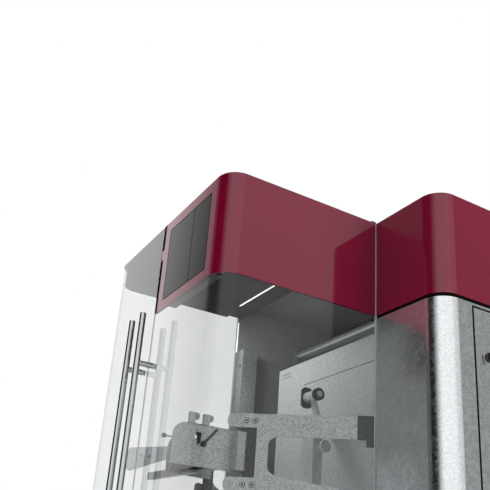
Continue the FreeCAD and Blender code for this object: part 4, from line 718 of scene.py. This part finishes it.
def roof_lip():
    """Thin dark lip that closes the roof's cap towards the leaves, just above the glass."""
    low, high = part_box("left_door_glass")
    height = high.z + LIP_ABOVE_GLASS
    reach = -low.x - GLASS_RADIUS
    front = low.y + GLASS_RADIUS
    mesh = bmesh.new()
    start = [mesh.verts.new((low.x + inset, LIP_REAR, height)) for inset in LIP_INSETS]
    end = [mesh.edges.new(start)]
    end = drawn(mesh, end, (0.0, front - LIP_REAR, 0.0))
    end = swung(mesh, end, (-reach, front, height))
    end = drawn(mesh, end, (2 * reach, 0.0, 0.0))
    end = swung(mesh, end, (reach, front, height))
    drawn(mesh, end, (0.0, LIP_REAR - front, 0.0))
    thicken(mesh, (0.0, 0.0, LIP_THICKNESS))
    make_piece("roof_lip", mesh, DARK_COAT, "cabinet")


def wall_edge_highlight():
    """Painted highlight: an upright glowing strip on the inner face of the left wall, along its front edge.
    """
    low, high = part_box("left_wall")
    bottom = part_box("left_stay")[1].z - EDGE_HIGHLIGHT_BESIDE_STAY
    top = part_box("front_roof")[0].z - EDGE_HIGHLIGHT_BELOW_ROOF
    mesh = bmesh.new()
    rounded_bar(mesh, (high.x, low.y, bottom),
                (high.x + EDGE_HIGHLIGHT_THICKNESS, low.y + EDGE_HIGHLIGHT_WIDTH, top), SHEET_EDGE)
    make_piece("left_wall_edge_highlight", mesh, EDGE_HIGHLIGHT_GLOW, "cabinet")


# Film magazine and follower

HATCH_SEAM = 0.004
HATCH_SEAM_PROUD = 0.0005
HATCH_SCREW = 0.0045
HATCH_SCREW_INSET = 0.016
HATCH_SCREW_ROWS = 5
SLOT_ROWS = 2
SLOTS_PER_ROW = 5
SLOT_LENGTH = 0.009
SLOT_WIDTH = 0.004
SLOT_PITCH = 0.014
SLOT_FROM_LEFT = 0.022
SLOT_FROM_TOP = 0.024
SHADE_BEHIND_FACE = 0.0003
SHADE_THICKNESS = 0.001
YOKE_WIDTH = 0.044
YOKE_HEIGHT = 0.076
YOKE_RADIUS = 0.016
YOKE_COVER_DEPTH = 0.0095
YOKE_COVER_PROUD = 0.001


def hatch_seam():
    """Dark joint round the magazine's hatch."""
    low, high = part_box("magazine_hatch")
    around = Vector((HATCH_SEAM, 0.0, HATCH_SEAM))
    front = Vector((low.x, high.y - HATCH_SEAM_PROUD, low.z))
    mesh = bmesh.new()
    border(mesh, front - around, high + around, HATCH_SEAM)
    make_piece("hatch_seam", mesh, BLACK_LINES_AND_PAINTED_SHADE, "cabinet")


def painted_slot_shade():
    """Painted shade in the magazine's slots: black plates just behind the face of the sheet."""
    low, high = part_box("film_magazine")
    front = low.y + SHADE_BEHIND_FACE
    mesh = bmesh.new()
    for row in range(SLOT_ROWS):
        for column in range(SLOTS_PER_ROW):
            left = low.x + SLOT_FROM_LEFT + column * SLOT_PITCH
            top = high.z - SLOT_FROM_TOP - row * SLOT_PITCH
            rounded_bar(mesh, (left, front, top - SLOT_WIDTH),
                        (left + SLOT_LENGTH, front + SHADE_THICKNESS, top), THIN_EDGE, steps=1)
    make_piece("painted_slot_shade", mesh, BLACK_LINES_AND_PAINTED_SHADE, "cabinet")


def hatch_screws():
    """Screws along both upright edges of the hatch, except in its upper corners."""
    low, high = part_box("magazine_hatch")
    columns = (low.x + HATCH_SCREW_INSET, high.x - HATCH_SCREW_INSET)
    rows = spaced(low.z + HATCH_SCREW_INSET, high.z - HATCH_SCREW_INSET, HATCH_SCREW_ROWS)
    centres = [(x, low.y, z) for x in columns for z in rows[:-1]]
    plate_screws("hatch_screws", centres, (0, -1, 0), HATCH_SCREW, "cabinet", TURNED_STEEL)


def yoke_cover():
    """Dark cover over the yoke of the follower's post, with the yoke's rounded corners."""
    low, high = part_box("follower_post")
    proud = YOKE_COVER_PROUD
    mesh = bmesh.new()
    bar(mesh, (low.x - proud, low.y - proud, high.z - YOKE_HEIGHT - proud),
        (low.x + YOKE_COVER_DEPTH, low.y + YOKE_WIDTH + proud, high.z + proud))
    across = [edge for edge in mesh.edges if edge.verts[0].co.yz == edge.verts[1].co.yz]
    bevel(mesh, across, YOKE_RADIUS, steps=6)
    round_edges(mesh, list(mesh.verts), BLOCK_EDGE)
    make_piece("yoke_cover", mesh, BLACK_ENAMEL, "cabinet")


# Arms

ARM_ANGLE = math.radians(39.8)
ARM_HALF_SHEET = 0.003
EAR_SCREW_RADIUS = 0.007
EAR_SCREW_FACE = 0.0055
SOCKET_SHADE_RADIUS = 0.0045
SOCKET_SHADE_PROUD = 0.0004
RING_SHADE_RADIUS = 0.0095
RING_SHADE_THICKNESS = 0.0008
CLAMP_PROUD = 0.012
CLAMP_SCREW = 0.005
CLAMP_SCREW_DROP = 0.066

# Places along the arm, from its pivot, and depths of the clamp's two steps
EAR_SCREWS = (0.4365, 0.4665)
CLAMP_REACH = (0.038, 0.094)
CLAMP_DEPTHS = (0.1, 0.077)


def arm_frame(hand):
    """Pivot of an arm, its direction to the tip and the direction out of its front face."""
    pivot = joint_place(hand + "_arm_swing")
    along = Vector((-math.sin(ARM_ANGLE) * SIDE[hand], -math.cos(ARM_ANGLE), 0.0))
    outward = Vector((math.cos(ARM_ANGLE) * SIDE[hand], -math.sin(ARM_ANGLE), 0.0))
    return Vector((pivot.x, pivot.y, 0.0)), along, outward


def painted_screw_shade(hand):
    """Painted shade at the screws of an arm's ears: a dark ring under each head for the shadow round it,
    and a dark hexagon on each head for the shade in its socket.
    """
    pivot, along, outward = arm_frame(hand)
    low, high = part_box(hand + "_arm_screws")
    mesh = bmesh.new()
    for height in (low.z + EAR_SCREW_RADIUS, high.z - EAR_SCREW_RADIUS):
        for reach in EAR_SCREWS:
            centre = pivot + along * reach + upward(height)
            socket = disc(mesh, centre + outward * EAR_SCREW_FACE, outward, SOCKET_SHADE_RADIUS, SOCKET_SHADE_PROUD,
                          sides=6)
            round_edges(mesh, socket, width=0.00012, steps=1)
            ring_shade = disc(mesh, centre + outward * ARM_HALF_SHEET, outward, RING_SHADE_RADIUS, RING_SHADE_THICKNESS)
            round_edges(mesh, ring_shade, THIN_EDGE, steps=1)
    make_piece(hand + "_arm_screw_shade", mesh, BLACK_LINES_AND_PAINTED_SHADE, hand + "_arm")


def arm_clamp(hand):
    """Dark block that clamps the arm's upper bar near its pivot, deeper at the pivot's side."""
    pivot, along, outward = arm_frame(hand)
    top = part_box(hand + "_arm_plate")[1].z
    near, far = CLAMP_REACH
    step = (near + far) / 2
    mesh = bmesh.new()
    for start, end, depth in zip((near, step), (step, far), CLAMP_DEPTHS):
        verts = bar(mesh, (start, ARM_HALF_SHEET, top - depth), (end, CLAMP_PROUD, top))
        for vert in verts:
            vert.co = pivot + along * vert.co.x + outward * vert.co.y + upward(vert.co.z)
        round_edges(mesh, verts, BLOCK_EDGE)
    make_piece(hand + "_arm_clamp", mesh, BLACK_ENAMEL, hand + "_arm")
    head = pivot + along * step + outward * CLAMP_PROUD + upward(top - CLAMP_SCREW_DROP)
    plate_screws(hand + "_arm_clamp_screw", [head], outward, CLAMP_SCREW, hand + "_arm", BLACK_ENAMEL)


# Guard and grippers

GUARD_ANGLE = math.radians(33)
GUARD_SCREW = 0.006
GRIPPER_SHEET = (0.1061, 0.1121)
THUMB_STEM_RADIUS = 0.003
THUMB_KNOB_LENGTH = 0.012
THUMB_COLLAR_RADIUS = 0.006
THUMB_COLLAR_LENGTH = 0.0004
THUMB_COLLAR_PROUD = 0.0001
KNOB_RADIUS = 0.0075
KNOB_LENGTH = 0.016
KNOB_BELOW_TOP = 0.01
STUD_RADIUS = 0.003
STUD_LENGTH = 0.065
STUD_FROM_FRONT = 0.05
STUD_TO_KNOB_TIP = 0.08
EDGING_HEIGHT = 0.0018
EDGING_FROM_FRONT = 0.05
EDGING_FROM_REAR = 0.02
NOTCH_SHADOW_THICKNESS = 0.005

# Each guard screw's distance from the plate's far edge and from its top
GUARD_SCREW_PLACES = ((0.062, 0.03), (0.096, 0.033))

# Corners of the painted notch shadow from the lever's hub, along Y and Z
NOTCH_SHADOW_OUTLINE = ((-0.0295, 0.0365), (-0.0115, 0.0345), (-0.0125, 0.0035), (-0.0205, -0.0055))


def thumb_screw(node):
    """Screw that lies along Y, with its knurled knob at the rear."""
    low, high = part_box(node)
    centre = (low + high) / 2
    knob_front = high.y - THUMB_KNOB_LENGTH
    rearwards = (0, 1, 0)
    mesh = bmesh.new()
    stem = disc(mesh, (centre.x, low.y, centre.z), rearwards, THUMB_STEM_RADIUS, knob_front - low.y,
                sides=16)
    round_edges(mesh, stem, STEM_EDGE)
    collar = disc(mesh, (centre.x, knob_front - THUMB_COLLAR_PROUD, centre.z), rearwards,
                  THUMB_COLLAR_RADIUS, THUMB_COLLAR_LENGTH, sides=24)
    round_edges(mesh, collar, width=0.0001, steps=1)
    knurl(mesh, Vector((centre.x, knob_front, centre.z)), (high.x - low.x) / 2, THUMB_KNOB_LENGTH,
          ridges=24, groove=0.0009)
    piece = make_piece("knurled_" + node, mesh, TURNED_STEEL, node)
    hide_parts(node)


def guard_screws():
    """Two light screws in the guard plate, which stands askew."""
    low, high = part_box("left_guard")
    along = Vector((-math.cos(GUARD_ANGLE), -math.sin(GUARD_ANGLE), 0.0))
    outward = Vector((math.sin(GUARD_ANGLE), -math.cos(GUARD_ANGLE), 0.0))
    far = Vector((low.x, low.y, high.z))
    heads = [far - along * inset - upward(drop) for inset, drop in GUARD_SCREW_PLACES]
    plate_screws("guard_screws", heads, outward, GUARD_SCREW, "left_arm", TURNED_STEEL)


def gripper_knob():
    """Small turned knob that stands forward of the left gripper's upper corner."""
    low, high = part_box("left_gripper")
    # The knob stays inwards of the sheet's outer face, past which the lever turns
    place = KNOB_RADIUS - GRIPPER_SHEET[1]
    height = high.z - KNOB_BELOW_TOP
    start = low.y + STUD_FROM_FRONT
    mesh = bmesh.new()
    stud = disc(mesh, (place, start, height), (0, -1, 0), STUD_RADIUS, STUD_LENGTH, sides=16)
    round_edges(mesh, stud, STEM_EDGE)
    knurl(mesh, Vector((place, start - STUD_TO_KNOB_TIP, height)), KNOB_RADIUS, KNOB_LENGTH,
          ridges=18, groove=0.0006)
    make_piece("gripper_knob", mesh, TURNED_STEEL, "left_arm")


def gripper_edge():
    """Thin dark edging along the top of the right gripper."""
    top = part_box("left_gripper")[1].z
    low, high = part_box("right_gripper")
    left, right = GRIPPER_SHEET
    mesh = bmesh.new()
    rounded_bar(mesh, (left, low.y + EDGING_FROM_FRONT, top),
                (right, high.y - EDGING_FROM_REAR, top + EDGING_HEIGHT), edge=0.0006)
    make_piece("gripper_edge", mesh, RUBBER, "right_arm")


def notch_shadow_block():
    """Painted shadow of the notch: a dark block beside the clamp lever's hub, on the gripper's outer face.
    """
    hub = joint_place("right_lever_turn")
    mesh = bmesh.new()
    verts = [mesh.verts.new((GRIPPER_SHEET[1], hub.y + y, hub.z + z)) for y, z in NOTCH_SHADOW_OUTLINE]
    mesh.faces.new(verts)
    thicken(mesh, (NOTCH_SHADOW_THICKNESS, 0.0, 0.0))
    round_edges(mesh, list(mesh.verts), width=0.001)
    make_piece("notch_shadow_block", mesh, BLACK_ENAMEL, "right_arm")


# Covers and louvres on the walls

COVER_SHEET = 0.0015
COVER_INSET = 0.018
COVER_SCREW = 0.006
GASKET = 0.0006
GASKET_SHADE_RIM = 0.003
PLINTH_TO_COVER = 0.05
COVER_WAIST = 1.14
LOUVRE_HEIGHT = 0.014
LOUVRE_PROUD = 0.007
LOUVRE_PITCH = 0.028
LOUVRE_TOP_PROUD = 0.0005

# Name, left, right and bottom of each row of louvres, and their count
LOUVRE_ROWS = (
    ("housing_louvres", 0.56, 0.71, 1.3, 10),
    ("bay_louvres", -0.3, 0.3, 0.35, 8),
)


def removable_covers(names, panels, place, outward, screws_per_edge):
    """Sheets on wider dark gaskets, screwed along their upright edges; the gaskets' rim round each sheet is
    also painted shade along its edges.

    Each panel has its left, right, foot and head; place turns across, up and out into a point.
    """
    sheets = bmesh.new()
    gaskets_and_edge_shade = bmesh.new()
    heads = []
    for left, right, foot, head in panels:
        rounded_bar(sheets, place(left, foot, 0.0), place(right, head, COVER_SHEET), SHEET_EDGE)
        rounded_bar(gaskets_and_edge_shade, place(left - GASKET_SHADE_RIM, foot - GASKET_SHADE_RIM, 0.0),
                    place(right + GASKET_SHADE_RIM, head + GASKET_SHADE_RIM, GASKET), THIN_EDGE, steps=1)
        heads += [place(across, up, COVER_SHEET) for across in (left + COVER_INSET, right - COVER_INSET)
                  for up in spaced(foot + COVER_INSET, head - COVER_INSET, screws_per_edge)]
    sheet_name, gasket_and_edge_shade_name, screw_name = names
    make_piece(sheet_name, sheets, GALVANISED, "cabinet")
    make_piece(gasket_and_edge_shade_name, gaskets_and_edge_shade, RUBBER, "cabinet")
    plate_screws(screw_name, heads, outward, COVER_SCREW, "cabinet", TURNED_STEEL)


def rear_covers():
    """Covers on the rear wall: two on the film bay and one on the housing, above the inlet."""
    low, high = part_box("rear_wall")
    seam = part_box("partition_wall")[1].x
    inlet_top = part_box("supply_inlet")[1].z
    bottom = low.z + PLINTH_TO_COVER
    top = high.z - COVER_INSET
    bay = (low.x + COVER_INSET, seam - COVER_INSET)
    housing = (seam, high.x - COVER_INSET)
    panels = ((*bay, bottom, COVER_WAIST), (*bay, COVER_WAIST + COVER_INSET, top),
              (*housing, inlet_top + COVER_INSET, top))

    def on_rear_wall(across, up, out):
        return (across, high.y + out, up)

    removable_covers(("rear_covers", "rear_cover_gaskets_and_edge_shade", "rear_cover_screws"), panels,
                     on_rear_wall, (0, 1, 0), screws_per_edge=5)


def side_cover():
    """Cover on the outside of the left wall."""
    low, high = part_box("left_wall")
    panel = (low.y + PLINTH_TO_COVER, high.y - PLINTH_TO_COVER,
             low.z + PLINTH_TO_COVER, high.z - PLINTH_TO_COVER)

    def on_left_wall(across, up, out):
        return (low.x - out, across, up)

    removable_covers(("side_cover", "side_cover_gasket_and_edge_shade", "side_cover_screws"), [panel],
                     on_left_wall, (-1, 0, 0), screws_per_edge=6)


def louvre_row(name, left, right, bottom, count):
    """Pressed louvres that stand out of the rear wall, each sloping back to it at its top."""
    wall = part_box("rear_wall")[1].y
    mesh = bmesh.new()
    for step in range(count):
        foot = bottom + step * LOUVRE_PITCH
        verts = bar(mesh, (left, wall, foot), (right, wall + LOUVRE_PROUD, foot + LOUVRE_HEIGHT))
        for vert in verts:
            if vert.co.y > wall + LOUVRE_PROUD / 2 and vert.co.z > foot + LOUVRE_HEIGHT / 2:
                vert.co.y = wall + LOUVRE_TOP_PROUD
        round_edges(mesh, verts, width=0.0025)
    make_piece(name, mesh, GALVANISED, "cabinet")


# Service door and controls

DOOR_GAP_SHADE_WIDTH = 0.007
DOOR_GAP_SHADE_PROUD = 0.0004
LOCK_RING_RADIUS = 0.019
LOCK_RING_THICKNESS = 0.0012
MODULE_ROWS = 4
MODULES_PER_ROW = 4
MODULE_WIDTH = 0.084
MODULE_HEIGHT = 0.19
MODULE_DEPTH_STEP = 0.012
FRONT_FROM_SIDE = 0.006
FRONT_FROM_END = 0.05
FRONT_PROUD = 0.004
TERMINALS = 6
TERMINAL_WIDTH = 0.01
TERMINAL_HEIGHT = 0.022
TERMINAL_PITCH = 0.012
TERMINAL_PROUD = 0.006
TERMINAL_FROM_SIDE = 0.007
TERMINAL_FROM_END = 0.006


def service_door_gap_shade():
    """Painted shade of the service door's gap: a dark strip on the shell beside the door's front edge."""
    low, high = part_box("service_door")
    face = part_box("rear_shell")[1].x
    mesh = bmesh.new()
    rounded_bar(mesh, (face, low.y - DOOR_GAP_SHADE_WIDTH, low.z), (face + DOOR_GAP_SHADE_PROUD, low.y, high.z),
                LINE_EDGE, steps=1)
    make_piece("service_door_gap_shade", mesh, BLACK_LINES_AND_PAINTED_SHADE, "cabinet")


def lock_ring():
    """Ring under the service lock's knob."""
    mesh = bmesh.new()
    ring = disc(mesh, joint_place("service_lock_turn"), (1, 0, 0), LOCK_RING_RADIUS, LOCK_RING_THICKNESS,
                sides=48)
    round_edges(mesh, ring, SHEET_EDGE)
    make_piece("lock_ring", mesh, TURNED_STEEL, "service_door")


def module_corners():
    """Front, left and bottom of each control module; the modules grow deeper from row to row."""
    low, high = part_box("control_gear")
    gap_across = (high.y - low.y - MODULES_PER_ROW * MODULE_WIDTH) / (MODULES_PER_ROW + 1)
    gap_up = (high.z - low.z - MODULE_ROWS * MODULE_HEIGHT) / (MODULE_ROWS + 1)
    for row in range(MODULE_ROWS):
        front = high.x - (MODULE_ROWS - 1 - row) * MODULE_DEPTH_STEP
        bottom = low.z + gap_up + row * (MODULE_HEIGHT + gap_up)
        for column in range(MODULES_PER_ROW):
            left = low.y + gap_across + column * (MODULE_WIDTH + gap_across)
            yield front, left, bottom


def module_fronts():
    """Raised fronts on the control modules, and a row of terminals at both ends of each."""
    fronts = bmesh.new()
    terminals = bmesh.new()
    for front, left, bottom in module_corners():
        right = left + MODULE_WIDTH
        top = bottom + MODULE_HEIGHT
        rounded_bar(fronts, (front, left + FRONT_FROM_SIDE, bottom + FRONT_FROM_END),
                    (front + FRONT_PROUD, right - FRONT_FROM_SIDE, top - FRONT_FROM_END), edge=0.0015)
        for foot in (bottom + TERMINAL_FROM_END, top - TERMINAL_FROM_END - TERMINAL_HEIGHT):
            for terminal in range(TERMINALS):
                start = left + TERMINAL_FROM_SIDE + terminal * TERMINAL_PITCH
                rounded_bar(terminals, (front, start, foot),
                            (front + TERMINAL_PROUD, start + TERMINAL_WIDTH, foot + TERMINAL_HEIGHT),
                            edge=0.001, steps=1)
    make_piece("module_fronts", fronts, BLACK_PLASTIC, "cabinet")
    make_piece("module_terminals", terminals, SEAL_GREY, "cabinet")


def small_fittings():
    header_joint_shade_strips()
    screen_lines()
    hatch_seam()
    painted_slot_shade()
    service_door_gap_shade()
    for hand in SIDE:
        leaf_rear_seal(hand)
    leaf_joint_seal()
    roof_lip()
    thumb_screw("front_thumb_screw")
    thumb_screw("rear_thumb_screw")
    for hand in SIDE:
        painted_screw_shade(hand)
    for hand in SIDE:
        arm_clamp(hand)
    guard_screws()
    gripper_knob()
    gripper_edge()
    notch_shadow_block()
    yoke_cover()
    hatch_screws()
    rear_covers()
    side_cover()
    for row in LOUVRE_ROWS:
        louvre_row(*row)
    wall_edge_highlight()
    lock_ring()
    module_fronts()


# Studio

WHITE = (1.0, 1.0, 1.0)
FLOOR_SIZE = 16.0
FLOOR_PARTS = 8
DIFFUSE_LEVEL = 0.8

# Surround as glossy faces see it: compass angle in degrees and grey level
SURROUND = (
    (-180.0, 1.6),
    (-159.0, 1.6),
    (-154.0, 0.2),
    (-134.0, 0.2),
    (-129.0, 0.01),
    (-86.0, 0.01),
    (-56.0, 1.08),
    (8.0, 1.05),
    (18.0, 0.8),
    (37.5, 0.76),
    (41.0, 0.3),
    (95.0, 0.27),
    (150.0, 0.27),
    (180.0, 1.6),
)


def even(level):
    """An even grey."""
    return (level, level, level)


def floor():
    mesh = bmesh.new()
    bmesh.ops.create_grid(mesh, x_segments=FLOOR_PARTS, y_segments=FLOOR_PARTS, size=FLOOR_SIZE / 2)
    data = bpy.data.meshes.new("floor")
    mesh.to_mesh(data)
    mesh.free()
    material = plain_finish("floor_white", even(0.86), roughness=0.6)
    clouds = blotches(material, size=0.6)
    smears = blotches(material, size=0.2)
    vary(material, clouds, even(0.84), even(0.88), smears, smooth=0.55, rough=0.7)
    data.materials.append(material)
    piece = bpy.data.objects.new("floor", data)
    bpy.context.scene.collection.objects.link(piece)


def surround():
    """White to the eye and through glass; glossy faces see panels set by compass angle."""
    world = bpy.data.worlds.new("studio")
    world.use_nodes = True
    bpy.context.scene.world = world
    path = new_node(world, "ShaderNodeLightPath")
    soft = opaque(even(DIFFUSE_LEVEL))
    unseen = either(world, path.outputs["Is Glossy Ray"], soft, panels_by_compass(world))
    seen = worked_out(world, "MAXIMUM", path.outputs["Is Camera Ray"], path.outputs["Is Transmission Ray"])
    backdrop = world.node_tree.nodes["Background"]
    join(world, either(world, seen, unseen, opaque(WHITE)), backdrop.inputs["Color"])


def panels_by_compass(world):
    """Grey of the panel that lies in the direction of a ray."""
    direction = new_node(world, "ShaderNodeTexCoord")
    split = new_node(world, "ShaderNodeSeparateXYZ")
    join(world, direction.outputs["Generated"], split.inputs["Vector"])
    compass = worked_out(world, "ARCTAN2", split.outputs["Y"], split.outputs["X"])
    turn = spread(world, compass, 0.0, 1.0, from_low=-math.pi, from_high=math.pi)
    panels = new_node(world, "ShaderNodeValToRGB")
    set_panels(panels.color_ramp)
    join(world, turn, panels.inputs["Fac"])
    return panels.outputs["Color"]


def set_panels(ramp):
    """Sets the stops of the ramp, which has two to begin with."""
    stops = [((angle + 180.0) / 360.0, level) for angle, level in SURROUND]
    while len(ramp.elements) < len(stops):
        ramp.elements.new(0.5)
    for element, (place, level) in zip(ramp.elements, stops):
        element.position = place
        element.color = opaque(even(level))


def soft_lamp(name, place, target, width, height, watts):
    """A lamp with a wide face, which glossy faces don't show."""
    lamp = bpy.data.lights.new(name, "AREA")
    lamp.shape = "RECTANGLE"
    lamp.size = width
    lamp.size_y = height
    lamp.energy = watts
    holder = bpy.data.objects.new(name, lamp)
    bpy.context.scene.collection.objects.link(holder)
    holder.location = place
    aim = Vector(target) - Vector(place)
    holder.rotation_euler = aim.to_track_quat("-Z", "Y").to_euler()
    holder.visible_glossy = False


def lamps():
    soft_lamp("overhead_lamp", place=(0.3, 0.2, 8.0), target=(0.1, 0.2, 0.0),
              width=5.0, height=5.0, watts=150.0)
    soft_lamp("side_lamp", place=(3.2, 1.3, 2.4), target=(0.7, 0.0, 1.8),
              width=2.0, height=2.0, watts=40.0)
    soft_lamp("chamber_lamp", place=(-0.28, -0.35, 2.0), target=(0.1, 0.3, 1.2),
              width=0.3, height=0.1, watts=3.6)


# Camera at the viewing angle of the photograph

LENS = 51.15
UPWARD_SHIFT = 0.143
CAMERA_PLACE = Vector((2.1765, -1.470, 0.9713))
CAMERA_RIGHT = Vector((0.5016, 0.8621, 0.0713))
CAMERA_UP = Vector((0.2825, -0.2412, 0.9284))
FARTHEST_SEEN = 100.0


def camera():
    data = bpy.data.cameras.new("camera")
    data.lens = LENS
    data.shift_y = UPWARD_SHIFT
    data.clip_end = FARTHEST_SEEN
    holder = bpy.data.objects.new("camera", data)
    bpy.context.scene.collection.objects.link(holder)
    right = CAMERA_RIGHT.normalized()
    back = right.cross(CAMERA_UP).normalized()
    up = back.cross(right)
    axes = Matrix((right, up, back)).transposed().to_4x4()
    holder.matrix_world = Matrix.Translation(CAMERA_PLACE) @ axes
    bpy.context.scene.camera = holder


bpy.context.scene.view_settings.view_transform = "Standard"
dress_nodes()
small_fittings()
floor()
surround()
lamps()
camera()
